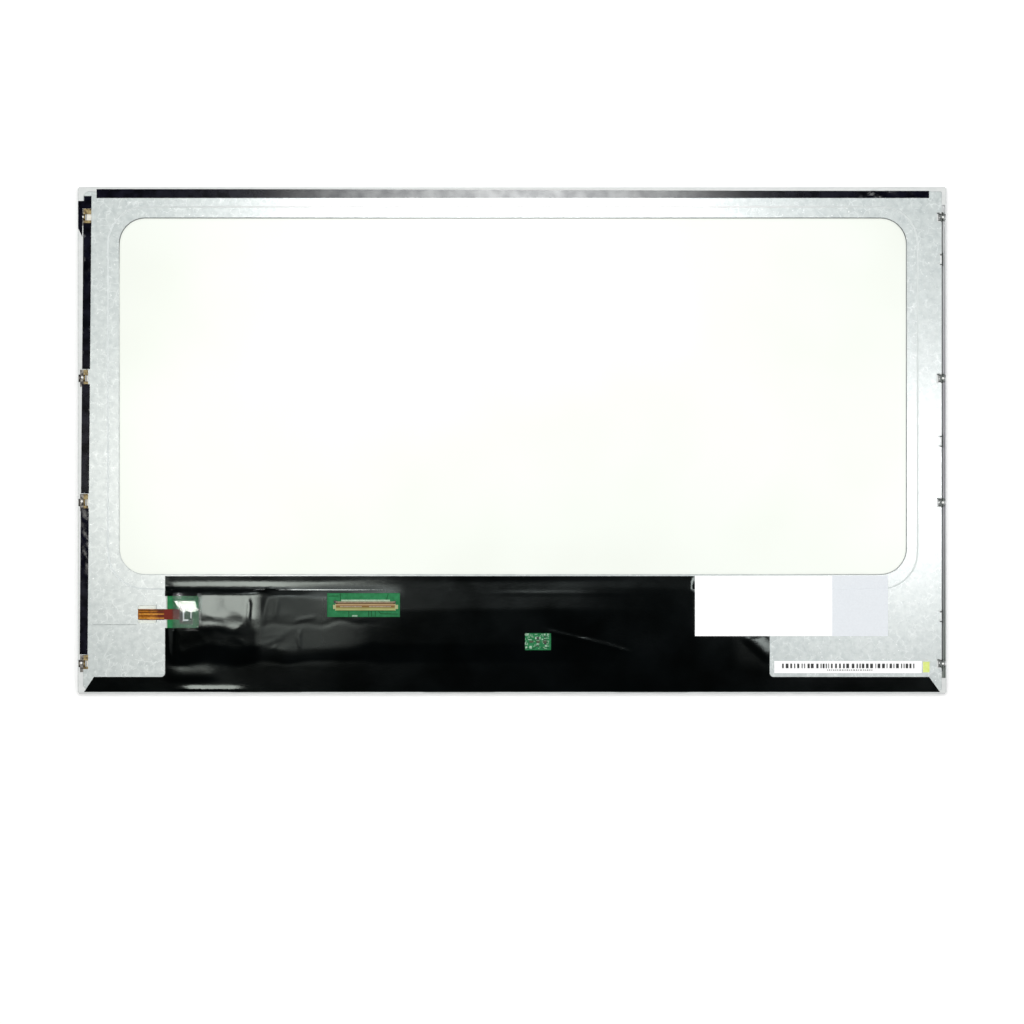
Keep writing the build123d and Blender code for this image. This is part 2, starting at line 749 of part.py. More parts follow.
with BuildPart() as tail_connector:
    body_sides = (tail_y - tail_connector_half, tail_y + tail_connector_half)
    slot_sides = (tail_edges[0] - tail_slot_gap, tail_edges[1] + tail_slot_gap)
    z_connector_top = z_board_top + tail_connector_height
    slab((tail_connector_left, tail_connector_right, *body_sides), z_board_top, z_connector_top)
    slot_end = tail_connector_left + tail_insertion
    slab((tail_connector_left, slot_end, *slot_sides), z_back, z_tail_top, mode=Mode.SUBTRACT)
    lock_seat = (
        tail_connector_left,
        tail_connector_left + lock_depth,
        tail_y - lock_half,
        tail_y + lock_half,
    )
    slab(lock_seat, z_tail_top, z_connector_top, mode=Mode.SUBTRACT)

with BuildPart() as tail_connector_lock:
    bar = (lock_seat[0], lock_seat[1] - lock_gap, lock_seat[2] + lock_gap, lock_seat[3] - lock_gap)
    slab(bar, z_tail_top, z_connector_top)
    front_edges = tail_connector_lock.edges().filter_by(Axis.Y).group_by(Axis.X)[0]
    chamfer(front_edges.group_by(Axis.Z)[-1], (z_connector_top - z_tail_top) / 2)


def on_board(place):
    """A point on the board's upper face, from its distances to the left and top edges."""
    return board_left + place[0], board_top - place[1]


def chips(places, size, height, corner=0.0):
    """Square chips on the board, with their corners cut off where that is asked."""
    with BuildPart() as group:
        with BuildSketch(Plane.XY.offset(z_board_top)):
            with Locations(*[on_board(place) for place in places]):
                Rectangle(size, size)
        extrude(amount=height)
        if corner > 0:
            chamfer(group.edges().filter_by(Axis.Z), corner)
    return group


# Chips, inductors and capacitors
timing_controller = chips([timing_chip_place], timing_chip_size, chip_height)
power_chips = chips(power_chip_places, power_chip_size, chip_height)
power_inductors = chips(inductor_places, inductor_size, chip_height, inductor_chamfer)

with BuildPart() as board_capacitors:
    for from_left, from_top, count in capacitor_rows:
        with BuildSketch(Plane.XY.offset(z_board_top)):
            with Locations(*[on_board((from_left + i * capacitor_step, from_top)) for i in range(count)]):
                Rectangle(capacitor_length, capacitor_width)
        extrude(amount=capacitor_height)

# Films that lie over the plate and the board
bulge_edges = (
    board_left + bulge_left_inset,
    board_right - bulge_right_inset,
    board_bottom - bulge_bottom_lap,
    board_top - bulge_top_inset,
)
tallest = max(chip_height, capacitor_height, tail_connector_height)
bulge_rise = z_board_top + tallest + bulge_gap - z_back


def plate_top(height):
    """Everything below the back plate's upper surface, raised by a height."""
    with BuildPart() as below:
        slab((left, right, bottom, top), z_plate_low, z_back + height)
        emboss(z_plate_low + plate_thickness + height, Mode.SUBTRACT)
    return below.part


def covered(height):
    """Everything below the plate's surface and the bulge over the board, raised by a height."""
    x = (bulge_edges[0] + bulge_edges[1]) / 2
    y = (bulge_edges[2] + bulge_edges[3]) / 2
    width = bulge_edges[1] - bulge_edges[0]
    depth = bulge_edges[3] - bulge_edges[2]
    with BuildPart() as below:
        add(plate_top(height))
        with BuildSketch(Plane((x, y, z_back + height))) as foot:
            Rectangle(width, depth)
        with BuildSketch(Plane((x, y, z_back + height + bulge_rise))) as crown:
            Rectangle(width - 2 * bulge_slope, depth - 2 * bulge_slope)
        loft([foot.sketch.face(), crown.sketch.face()], ruled=True)
    return below.part


z_film_limit = z_back + bulge_rise + 3 * film_thickness
end_window_y = tail_y + end_window_lift
end_window_right = film_left + end_window_length
end_window = (
    film_left,
    end_window_right,
    end_window_y - end_window_height / 2,
    end_window_y + end_window_height / 2,
)
signal_window = (
    cover[0] - shell_foot - signal_window_left,
    cover[1] + shell_foot + signal_window_right,
    housing_front - signal_window_bottom,
    signal_back + signal_window_top,
)
test_x, test_y = on_board(test_window_place)
test_window = (
    test_x - test_window_width / 2,
    test_x + test_window_width / 2,
    test_y - test_window_height / 2,
    test_y + test_window_height / 2,
)

with BuildPart() as board_cover_film:
    band_top = film_bottom + band_height
    with BuildSketch(Plane.XY.offset(z_plate_low)) as film_outline:
        with BuildLine():
            Polyline(
                (left + band_left_margin, film_bottom),
                (left + band_left_margin + band_mitre_left, band_top),
                (film_left, band_top),
                (film_left, film_top),
                (film_right, film_top),
                (film_right, band_top),
                (right - band_right_margin - band_mitre_right, band_top),
                (right - band_right_margin, film_bottom),
                close=True,
            )
        make_face()
        fillet(film_outline.vertices().group_by(Axis.Y)[1].sort_by(Axis.X)[1:3], film_corner)
    extrude(amount=z_film_limit - z_plate_low)
    for window in (signal_window, test_window, end_window):
        slab(window, z_plate_low, z_film_limit, mode=Mode.SUBTRACT)
    add(covered(film_thickness), mode=Mode.INTERSECT)
    add(covered(0), mode=Mode.SUBTRACT)

with BuildPart() as clear_end_film:
    over_tail = bulge_edges[0] + bulge_slope * flex_thickness / bulge_rise
    clear_film = (
        over_tail + clear_film_gap,
        end_window[1] + clear_film_lap,
        end_window[2] - clear_film_lap,
        end_window[3] + clear_film_lap,
    )
    slab(clear_film, z_plate_low, z_film_limit)
    add(covered(2 * film_thickness), mode=Mode.INTERSECT)
    add(covered(film_thickness), mode=Mode.SUBTRACT)

# Black tapes along the top and left edges
top_tape = (
    left + top_tape_left_margin,
    right - top_tape_right_margin,
    top - top_tape_margin - top_tape_width,
    top - top_tape_margin,
)
top_edge_tape = sheet(top_tape, z_back, tape_thickness)


def left_tape(upper_row, lower_row):
    """A length of tape down the left edge, between two screws, slightly out of true."""
    lean = math.radians(tape_tilt)
    along = Plane(
        origin=(left + left_tape_offset, 0, z_back),
        x_dir=(math.cos(lean), -math.sin(lean), 0),
        z_dir=(0, 0, 1),
    )
    length = upper_row - lower_row - 2 * tape_break
    with BuildPart() as tape:
        with BuildSketch(along):
            with Locations((0, (upper_row + lower_row) / 2)):
                Rectangle(tape_width, length)
        extrude(amount=tape_thickness)
    return tape


upper_left_tape = left_tape(screw_rows[0], screw_rows[1])
middle_left_tape = left_tape(screw_rows[1], screw_rows[2])
lower_left_tape = left_tape(screw_rows[2], screw_rows[3])

with BuildPart() as corner_tape:
    with BuildSketch(Plane.XY.offset(z_back)):
        with BuildLine():
            Polyline(
                (left + corner_tape_inner, top - corner_tape_top),
                (left + corner_tape_shoulder, top - corner_tape_top),
                (left + corner_tape_shoulder, top - corner_tape_step),
                (left + corner_tape_outer, top - corner_tape_step),
                (left + corner_tape_outer, top - corner_tape_end),
                (left + corner_tape_strip, top - corner_tape_tip),
                (left + corner_tape_strip, top - corner_tape_nut),
                (left + corner_tape_inner, top - corner_tape_nut),
                close=True,
            )
        make_face()
    extrude(amount=tape_thickness)


def draped(edges, height, thickness):
    """A thin sheet that follows the back plate's surface at a height above it."""
    with BuildPart() as piece:
        slab(edges, z_plate_low, z_back + height + thickness)
        add(plate_top(height + thickness), mode=Mode.INTERSECT)
        add(plate_top(height), mode=Mode.SUBTRACT)
    return piece.part


# Labels: the rating label lies half on the film and half on the plate
with BuildPart() as rating_label:
    rating_left = film_right - rating_label_lap
    rating_top = window_edges[2] - rating_label_setback
    rating_sides = (rating_top - rating_label_height, rating_top)
    add(draped((rating_left, film_right, *rating_sides), film_thickness, label_thickness))
    add(draped((film_right, rating_left + rating_label_length, *rating_sides), 0, label_thickness))

bar_label_left = film_right + bar_label_gap
bar_label_bottom = bottom + bar_label_from_bottom
bar_label_edges = (
    bar_label_left,
    bar_label_left + bar_label_length,
    bar_label_bottom,
    bar_label_bottom + bar_label_height,
)
bar_label = sheet(bar_label_edges, z_back, label_thickness)

# Dab of paint that an inspector leaves beside the bar label
mark_left = bar_label_edges[1] + mark_gap
mark_edges = (
    mark_left,
    mark_left + mark_width,
    bar_label_edges[2] + mark_inset,
    bar_label_edges[3] - mark_inset,
)
inspection_mark = sheet(mark_edges, z_back, mark_thickness)

pieces = {
    "front_bezel": front_bezel,
    "front_polariser": front_polariser,
    "colour_filter_glass": colour_filter_glass,
    "array_glass": array_glass,
    "rear_polariser": rear_polariser,
    "shading_tape": shading_tape,
    "mould_frame": mould_frame,
    "upper_diffuser": upper_diffuser,
    "upper_prism_sheet": upper_prism_sheet,
    "lower_prism_sheet": lower_prism_sheet,
    "lower_diffuser": lower_diffuser,
    "light_guide": light_guide,
    "reflector_sheet": reflector_sheet,
    "light_bar_leds": light_bar_leds,
    "light_bar_flex": light_bar_flex,
    "back_plate": back_plate,
    "left_screw_inserts": left_screw_inserts,
    "right_screw_inserts": right_screw_inserts,
    "right_side_rail": right_side_rail,
    "board_tape": board_tape,
    "control_board": control_board,
    "source_driver_films": source_driver_films,
    "driver_chips": driver_chips,
    "signal_contacts": signal_contacts,
    "signal_housing": signal_housing,
    "signal_shell": signal_shell,
    "tail_connector": tail_connector,
    "tail_connector_lock": tail_connector_lock,
    "timing_controller": timing_controller,
    "power_chips": power_chips,
    "power_inductors": power_inductors,
    "board_capacitors": board_capacitors,
    "board_cover_film": board_cover_film,
    "clear_end_film": clear_end_film,
    "top_edge_tape": top_edge_tape,
    "corner_tape": corner_tape,
    "upper_left_tape": upper_left_tape,
    "middle_left_tape": middle_left_tape,
    "lower_left_tape": lower_left_tape,
    "rating_label": rating_label,
    "bar_label": bar_label,
    "inspection_mark": inspection_mark,
}

os.makedirs("parts", exist_ok=True)
for name, piece in pieces.items():
    piece.part.label = name
    export_step(piece.part, f"parts/{name}.step")
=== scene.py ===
import json
import math
import random

import bpy
import numpy as np
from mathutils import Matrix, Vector, noise
from mathutils.geometry import delaunay_2d_cdt


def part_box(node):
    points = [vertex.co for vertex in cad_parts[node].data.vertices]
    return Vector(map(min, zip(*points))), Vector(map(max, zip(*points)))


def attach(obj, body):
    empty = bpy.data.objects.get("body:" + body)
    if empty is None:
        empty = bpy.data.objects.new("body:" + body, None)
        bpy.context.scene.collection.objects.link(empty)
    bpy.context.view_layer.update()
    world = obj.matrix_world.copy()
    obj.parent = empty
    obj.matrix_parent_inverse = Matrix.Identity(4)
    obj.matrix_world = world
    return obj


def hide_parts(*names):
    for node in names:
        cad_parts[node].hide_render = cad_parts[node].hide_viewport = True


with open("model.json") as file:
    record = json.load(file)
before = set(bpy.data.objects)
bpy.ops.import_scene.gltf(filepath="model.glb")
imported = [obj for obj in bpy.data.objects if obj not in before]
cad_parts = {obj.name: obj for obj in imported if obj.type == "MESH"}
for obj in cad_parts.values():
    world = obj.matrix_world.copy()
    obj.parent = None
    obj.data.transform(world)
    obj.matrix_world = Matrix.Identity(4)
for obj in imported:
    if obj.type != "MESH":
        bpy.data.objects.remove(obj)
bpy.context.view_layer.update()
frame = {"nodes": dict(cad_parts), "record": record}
scene = bpy.context.scene

# Lengths are in millimetres up to the point where a mesh or a light is made
MM = 0.001

# The picture's scale, its width in pixels and the panel's middle in it
PIXEL = 0.41346
PICTURE = 1024
PANEL_MIDDLE = (512.1, 440.4)
LENS = 85.0
SENSOR = 36.0

# Levels of the part that the looks rest on
BACK_LEVEL = 4.4
BOARD_LEVEL = 4.3
SHEET_LEVEL = 3.75

# Three soft lamps above the panel, the last one a long oval, and the light that comes from all round
LAMPS = ((-224.0, -8.0), (326.0, -8.0), (-10.0, 200.0))
LAMP_HEIGHT = 1000.0
LAMP_SIZES = ((160.0, 160.0), (160.0, 160.0), (380.0, 150.0))
LAMP_GLOW = 72.0
LAMP_TINTS = ((1.0, 0.985, 0.93), (1.0, 1.0, 1.0), (0.98, 1.0, 1.0))
SKY_LEVEL = 0.78
ZENITH_LEVEL = 0.02
ZENITH_CONE = (0.80, 0.88)
FLOOR_DROP = 0.2
FLOOR_SIZE = 8000.0
FLOOR_LIFT = 0.12

# Cover film: heights across it in four lengths, as (place along Y, height) from the bottom edge up; the CAD
# film is sampled inside its edge, moved in by a share along each axis
FILM_THICKNESS = 0.05
FILM_SPACING = 0.75
FILM_CORNER = 0.3
FILM_TOP = 5.3
FILM_MIDDLE = -80.0
FILM_INSET = (0.001, 0.005)
FILM_GLOSS = {"Specular IOR Level": 0.24, "Specular Tint": (0.9, 1.0, 0.97, 1.0)}
FILM_LEFT_END = (-143.2, -139.0)
FILM_HEIGHTS = {
    "loose": (
        (-104.1, 4.47), (-91.5, 4.47), (-86.0, 5.05), (-77.0, 5.22), (-72.6, 5.17), (-64.4, 4.80),
        (-63.6, 4.77), (-61.1, 4.23), (-58.6, 4.11), (-56.0, 4.17),
    ),
    "creased": (
        (-104.1, 4.47), (-91.5, 4.50), (-88.5, 4.92), (-86.0, 5.10), (-77.2, 5.13), (-76.2, 5.04),
        (-75.0, 5.12), (-64.6, 5.15), (-61.3, 4.22), (-58.6, 4.11), (-56.0, 4.17),
    ),
    "taut": (
        (-104.1, 4.46), (-91.5, 4.47), (-84.5, 5.02), (-70.0, 5.02), (-58.0, 4.13), (-56.0, 4.11),
    ),
    "flat": ((-104.1, 4.45), (-61.4, 4.455), (-56.0, 4.11)),
}
CREASED_FROM = (-105.0, -102.0)
TAUT_FROM = (-88.0, -40.0)
FLAT_FROM = (17.0, 64.0)

# Where handling has dulled the film, as (from, to) for its left, right, lower and upper limits, and how much
FILM_DULLED = (
    ((-107.0, -103.0), (-84.0, -58.0), (-94.0, -84.0), (-65.0, -62.5), 0.22),
    ((-94.0, -78.0), (-58.0, -44.0), (-65.0, -62.5), (-61.0, -59.0), 0.22),
    ((90.0, 95.0), (112.0, 114.0), (-96.0, -90.0), (-80.0, -79.0), 0.06),
)

# Clear film over the end of the board: its height, a gentle slope between two places and a steeper one above
CLEAR_HEIGHT = 5.24
CLEAR_LOW = -70.5
CLEAR_HIGH = -66.3
CLEAR_SLOPES = (0.048, 0.12)
CLEAR_SLANT = 1.2
CLEAR_SLANT_FROM = -136.2
CLEAR_LEVEL_FROM = (-130.2, -129.2)
CLEAR_RISE = 0.3
CLEAR_RISE_TO = (-143.5, -138.5)

# Creases of the film: start, end, rise, width of the flank on the left and on the right; they die out at both
# ends over a share of their length
FILM_CREASES = (
    ((-109.0, -63.4), (-108.6, -77.2), 0.10, 0.9, 1.3),
    ((-103.4, -63.4), (-102.6, -77.2), 0.11, 1.6, 1.2),
    ((-98.8, -64.4), (-97.4, -75.0), 0.10, 1.7, 1.3),
    ((-91.0, -74.9), (-80.0, -73.2), 0.10, 1.6, 1.2),
    ((-86.9, -86.2), (-86.6, -77.4), 0.16, 1.1, 1.1),
    ((10.6, -77.8), (36.0, -84.0), 0.17, 1.3, 1.6),
    ((26.0, -81.0), (51.0, -88.0), 0.15, 1.2, 1.8),
    ((-17.4, -63.1), (65.0, -63.3), 0.03, 1.0, 1.0),
    ((-142.0, -103.4), (-107.0, -103.6), 0.17, 2.7, 0.7),
    ((-146.0, -97.4), (-120.0, -97.0), 0.11, 5.6, 3.0),
    ((-132.0, -76.0), (-108.0, -80.0), 0.04, 2.4, 2.8),
    ((-106.0, -85.8), (-92.0, -78.6), 0.07, 2.2, 1.6),
    ((-76.0, -73.6), (-60.0, -74.6), 0.05, 1.2, 2.4),
    ((-99.5, -86.6), (-97.7, -83.4), 0.10, 0.9, 0.9),
)
CREASE_END = 0.3

# The facet beside the bar label, and the wide label, which covers a corner of the film and holds it down
FILM_FACET = ((94.5, -79.0), (108.5, -92.0), 0.26, 6.0, 3.0)
LABEL_COVERS_X = (75.6, 76.0)
LABEL_COVERS_Y = (-80.9, -80.5)
LABEL_NEAR_X = (74.5, 75.3)
LABEL_SINK = 0.09

# Slack of the film, which bends its creases and hollows, and its fine crumples at the left
SLACK = 2.4
SLACK_SIZE = 11.0
SLACK_TO = (-70.0, -40.0)
SLACK_LOWER = (-100.0, -92.0)
SLACK_UPPER = (-66.0, -62.0)
CRUMPLE_SIZE = 7.5
CRUMPLE_RISE = 0.08
CRUMPLE_AREA = ((-146.0, -136.0), (-96.0, -86.0), (-92.0, -89.0), (-63.0, -60.0))

# Tapes, each with its ridges, and the top one stretched bright near its middle
TAPES = ("top_edge_tape", "corner_tape", "upper_left_tape", "middle_left_tape", "lower_left_tape")
LAPPED_TAPES = TAPES[2:]
TAPE_THICKNESS = 0.05
TAPE_SPACING = 0.7
TAPE_CRUMPLE = 0.14
TOP_TAPE_DROP = 0.75
TOP_TAPE_CRUMPLE = 0.34
TOP_TAPE_CRUMPLED = (140.0, 152.0)
TOP_TAPE_ASKEW = (-150.0, 170.0)
RIDGE_SIZE = 4.0
RIDGE_PATCH = 23.0
TAPE_LAP = 1.4
TAPE_LAP_FROM = 3.0
TAPE_STRETCHED = 8.0
TAPE_GLOSS_REACH = (0.0, 110.0)
TAPE_GLOSS = (0.5, 0.12)

# Bars on one label, marks on the tail connector and a tinted field on the wide label, all plain shapes
BAR_PLACE = (111.6, 167.8, -94.2, -92.3)
BAR_WIDTH = (0.35, 1.2)
BAR_GAP = (0.4, 1.1)
DASH_PLACE = (130.2, 149.2, -95.15, -94.75)
DASH_WIDTH = (0.35, 0.8)
DASH_GAP = 0.35
INK_THICKNESS = 0.02
FIELD_LEFT = (132.2, 132.5)
FIELD_LOWER = (-85.0, -84.8)
CONNECTOR_MARKS = (
    (-136.07, -135.45, -74.65, -69.1), (-135.45, -133.8, -74.65, -73.9), (-132.9, -132.47, -73.4, -69.7),
)

# Back plate: the painted highlight on its slopes with painted glare on the upper one, its window with painted
# light and shade along the edge, and painted shade along its steps
GLARE_FROM = (94.5, 95.5)
GLARE_REACH = (80.0, 140.0)
WINDOW = (-162.7, 163.3, -55.65, 92.2)
WINDOW_CORNER = 11.0
WINDOW_LIP = 0.34
LIP_HEIGHT = 0.26
# Painted shade on the window's edge ring: darkest towards the top, dark towards the right
LIP_SHADE_TOP = (70.0, 84.0)
LIP_SHADE_RIGHT = (100.0, 160.0)
# Painted shade along the plate's steps, as thin strips
LINE_WIDTH = 0.25
LINE_HEIGHT = 0.02
CHANNEL_LINES = (-67.85, -76.2)
CHANNEL_SPAN = (-173.4, -155.2)
BRIDGE_LINES = (-155.0, -147.0)
BRIDGE_SPANS = ((-69.6, -67.9), (-75.3, -74.2))

# Edge fittings: rows of the side screws, with painted glints on the inserts and nuts, painted shade on the
# nuts and painted shadow in their notches' corners; the hooks, with painted highlights on their faces, and
# painted shadow in the gaps beside them and along the rail
SCREW_ROWS = (92.3, 25.7, -25.7, -92.3)
LEFT_GLINTS = ((-177.6, 92.5), (-177.8, 26.1), (-178.0, -25.2), (-178.2, -92.0))
NUT_X = 178.0
NUT_LEVEL = 4.4
NUT_STAR = (
    (0.75, -0.55), (0.8, 0.4), (0.55, 0.75), (0.6, 1.9), (-0.2, 1.85), (-0.45, 1.0), (-1.0, 0.5),
    (-1.1, -0.7), (-0.6, -1.6), (-0.3, -2.3), (0.3, -1.6),
)
NUT_CORNER_SHADOW = (175.75, 176.75, 1.35, 1.85)
GLINT_RADIUS = 0.5
GLINT_ASIDE = 0.15
DOME_SIDES = 14
DOME_LEVELS = 4
DOME_RISE = 0.5
BARREL_TO = (-177.4, -177.0)
CLIP_TRIM_RIGHT = (-175.3, -173.9, -3.9, 3.9)
CLIP_TRIM_LOWER = (-177.3, -3.9, -2.3)
LEFT_HEAD_LEVEL = 4.1
HOOK_ROWS = (74.8, -0.3, -72.8)
RAIL_FLOOR = 3.4
RAIL_GAP_SHADOW = (177.72, 178.02)
RAIL_ENDS = (-98.1, 97.2)
# Painted shade on the rail up to one place, and a paler painted reflection on it from another
RAIL_SHADE_TO = (-95.0, -20.0)
RAIL_GLARE_FROM = (20.0, 90.0)
HOOK_GAP_SHADOW = (177.66, 178.25)
HOOK_HIGHLIGHT = (177.1, 177.6)
BARREL_TOP = 4.06
HOOK_HALF = 2.75
HOOK_FEET = ((-2.35, -1.85), (1.65, 2.15))
HOOK_FOOT_LEFT = 176.95

# Backlight tail: its lines along X, as (lower side, upper side), and where its colours change
TAIL_LINES_DARK = ((-70.45, -69.95), (-71.25, -70.85), (-72.75, -72.4), (-74.2, -73.9))
TAIL_LINES_GOLD = ((-72.0, -71.6), (-73.7, -73.3))
TAIL_SPAN = (-154.5, -143.9)
TAIL_STATIONS = 25
TAIL_AMBER_FROM = (-170.0, -169.0)
TAIL_RED_FROM = (-147.8, -146.2)

# Copper runs of the board that show in the film's windows, as points along each run
BOARD_RUNS = (
    ((-67.5, -70.5), (-67.5, -72.9)), ((-59.3, -70.5), (-59.3, -72.9)), ((-58.2, -70.5), (-58.2, -72.9)),
    ((-56.6, -70.5), (-56.6, -72.9)), ((-55.3, -70.6), (-54.1, -71.7), (-47.0, -71.8)),
    ((-71.0, -63.3), (-71.0, -65.8)), ((-51.2, -63.4), (-51.9, -65.8)), ((-75.9, -64.4), (-71.8, -64.3)),
    ((5.6, -85.9), (9.2, -85.9), (9.9, -85.2)), ((11.9, -85.8), (14.9, -85.8), (14.9, -83.2)),
)
RUN_WIDTH = 0.32
BOARD_PADS = (
    (-66.2, -64.0, -72.85, -72.25), (-70.6, -50.5, -66.45, -65.85), (5.3, 6.9, -80.7, -79.8),
    (6.6, 8.2, -82.55, -82.2), (5.2, 5.7, -84.6, -83.4), (5.5, 6.3, -85.9, -85.2), (7.2, 8.2, -86.1, -85.0),
    (9.5, 10.1, -82.2, -81.2), (11.2, 11.8, -82.2, -81.2), (10.1, 11.2, -83.0, -82.6),
    (10.1, 11.2, -84.5, -83.9), (13.1, 13.8, -80.6, -79.9), (13.2, 14.2, -82.0, -81.8),
    (13.2, 14.1, -83.1, -82.7), (14.5, 15.3, -80.4, -79.9), (12.2, 12.8, -82.6, -82.0),
    (13.6, 14.5, -85.3, -84.6),
)
BOARD_CHIPS = (
    (10.2, 11.1, -82.3, -81.3), (10.2, 11.1, -83.8, -83.1), (9.9, 11.2, -85.2, -84.8),
    (13.2, 14.2, -81.4, -81.0), (13.1, 14.5, -82.6, -82.3), (13.2, 14.2, -84.3, -83.5),
    (-73.7, -72.2, -67.3, -66.2), (-49.0, -48.1, -67.9, -66.3),
)
PAD_HEIGHT = 0.06
TEST_AREA = (5.5, 15.2, -86.2, -80.2)
TEST_MARKS = 44
TEST_MARK_SIZES = (0.35, 1.3)
TEST_MARK_WIDTH = 0.28
CHIP_HEIGHT = 0.12

# Signal connector: tones across its shell and contacts, as (place along Y, tone), the shell's lowest one a
# painted shadow, and tones at the shell's two ends with painted shade in their holes
SHELL_BANDS_WITH_SHADOW = (
    # The lowest band, dark green, is a painted shadow under the shell's lower edge
    (-70.5, (90, 98, 52)), (-70.1, (142, 148, 90)), (-69.8, (168, 174, 112)), (-69.3, (142, 138, 74)),
    (-68.85, (114, 94, 44)), (-68.45, (116, 82, 40)), (-68.15, (142, 110, 70)), (-67.9, (188, 164, 118)),
    (-67.65, (152, 122, 82)), (-67.42, (58, 36, 20)), (-67.15, (104, 86, 62)), (-66.7, (130, 114, 92)),
)
SHELL_ENDS = (-72.9, -48.3, (172, 176, 130))
SHELL_HOLE_SHADE = (-72.2, -49.0, -67.6, (30, 38, 20))
CONTACT_BANDS = (
    (-70.0, (190, 150, 80)), (-66.9, (150, 132, 110)), (-66.5, (190, 206, 176)), (-66.0, (216, 234, 204)),
)
BAND_EDGE = 0.2
HOLE_EDGE = 0.15

# Half the picture's width and height, each as the two sides of its border
SCREEN_HALF_WIDTH = (172.0, 172.2)
SCREEN_HALF_HEIGHT = (96.7, 96.9)

# How sheets are meshed and laid: chance shift and clearance as shares of the spacing, the offsets along Y
# that soften a bend, the least upward turn of an upper face, and the height that rays are cast from
MESH_SHIFT = 0.2
RIM_CLEARANCE = 0.55
BEND_STEPS = np.linspace(-0.5, 0.5, 7)
UPWARD = 0.2
RAY_LEVEL = 20.0

# Plain surfaces: dark tone, light tone, grain, roughness, then metallic, relief, stretch and shader sockets
EVEN = (1.0, 1.0, 1.0)
DULL = {"Specular IOR Level": 0.1}
PLAIN_SURFACES = {
    "bezel_steel": ((184, 187, 187), (210, 212, 212), 1.5, 0.45, 0.35, 0.004, (0.2, 1, 1)),
    "nut_steel": ((120, 122, 122), (214, 216, 214), 0.9, 0.3, 0.5, 0.006),
    "frame_white": ((204, 207, 206), (216, 218, 217), 3.0, 0.5, 0.0, 0.004),
    "shade_black": ((12, 12, 13), (24, 24, 26), 1.2, 0.5),
    "optical_film": ((224, 228, 230), (238, 241, 242), 5.0, 0.3, 0.0, 0.002),
    "diode_white": ((226, 196, 110), (250, 244, 220), 0.7, 0.35),
    "driver_amber": ((92, 54, 18), (150, 92, 34), 1.0, 0.35, 0.0, 0.003),
    "board_green": ((26, 106, 60), (42, 126, 78), 1.6, 0.4, 0.0, 0.004, EVEN, DULL),
    "board_adhesive": ((214, 214, 208), (232, 232, 228), 2.0, 0.6),
    "chip_black": ((22, 22, 23), (40, 40, 41), 0.4, 0.5, 0.0, 0.004),
    "ferrite_grey": ((52, 52, 54), (84, 84, 86), 0.5, 0.55, 0.0, 0.006),
    "capacitor_tan": ((48, 62, 46), (88, 98, 78), 0.5, 0.4, 0.0, 0.0, EVEN, DULL),
    "housing_beige": ((124, 106, 84), (164, 146, 120), 0.9, 0.5),
    "housing_dark": ((18, 66, 40), (34, 86, 56), 0.9, 0.4),
    "lock_dark": ((42, 36, 30), (66, 58, 50), 0.8, 0.45),
    "mark_lime": ((208, 222, 112), (222, 234, 140), 1.2, 0.45),
}


def tone(red, green, blue):
    """Linear colour of a screen tone given in steps of 0 to 255."""
    def linear(step):
        value = step / 255
        return value / 12.92 if value <= 0.04045 else ((value + 0.055) / 1.055) ** 2.4

    return (linear(red), linear(green), linear(blue), 1.0)


def add(tree, kind, inputs=None, **settings):
    """A shader node with its settings made and its inputs set or linked."""
    node = tree.nodes.new("ShaderNode" + kind)
    for name, value in settings.items():
        setattr(node, name, value)
    for name, value in (inputs or {}).items():
        if isinstance(value, bpy.types.NodeSocket):
            tree.links.new(value, node.inputs[name])
        else:
            node.inputs[name].default_value = value
    return node


def position(tree, stretch=EVEN):
    """Place on the part, in metres, scaled along each axis."""
    place = add(tree, "TexCoord").outputs["Object"]
    if stretch == EVEN:
        return place
    return add(tree, "Mapping", {"Vector": place, "Scale": stretch}).outputs["Vector"]


def axis(tree, name):
    """One coordinate of the place on the part, in metres."""
    return add(tree, "SeparateXYZ", {"Vector": position(tree)}).outputs[name]


def cloud(tree, grain, detail=4.0, stretch=EVEN):
    """Soft noise whose blotches are about as large as the grain, in millimetres."""
    inputs = {"Vector": position(tree, stretch), "Scale": 1 / (grain * MM), "Detail": detail}
    return add(tree, "TexNoise", inputs).outputs["Fac"]


def spread(tree, value, low, high, to_low=0.0, to_high=1.0):
    """A value moved from one range to another, and held inside it."""
    inputs = {"Value": value, "From Min": low, "From Max": high, "To Min": to_low, "To Max": to_high}
    return add(tree, "MapRange", inputs).outputs["Result"]


def patches(tree, grain, detail, low):
    """Soft blotches from nought to one, with sharper edges the nearer the low limit is to a half."""
    return spread(tree, cloud(tree, grain, detail), low, 1 - low)


def calc(tree, operation, first, second=0.0):
    """The outcome of one operation on two values."""
    return add(tree, "Math", {0: first, 1: second}, operation=operation).outputs["Value"]


def times(tree, first, second):
    return calc(tree, "MULTIPLY", first, second)


def fade(tree, name, limits, start=0.0, end=1.0):
    """A value that goes from one level to another between two places along an axis, in millimetres."""
    return spread(tree, axis(tree, name), limits[0] * MM, limits[1] * MM, start, end)


def fade_aside(tree, name, limits, start, end, middle=0.0):
    """A value that goes from one level to another with the distance from a place on an axis."""
    aside = calc(tree, "ABSOLUTE", calc(tree, "SUBTRACT", axis(tree, name), middle * MM))
    return spread(tree, aside, limits[0] * MM, limits[1] * MM, start, end)


def blend(tree, factor, first, second):
    """A colour between two others."""
    return add(tree, "Mix", {0: factor, 6: first, 7: second}, data_type="RGBA").outputs[2]


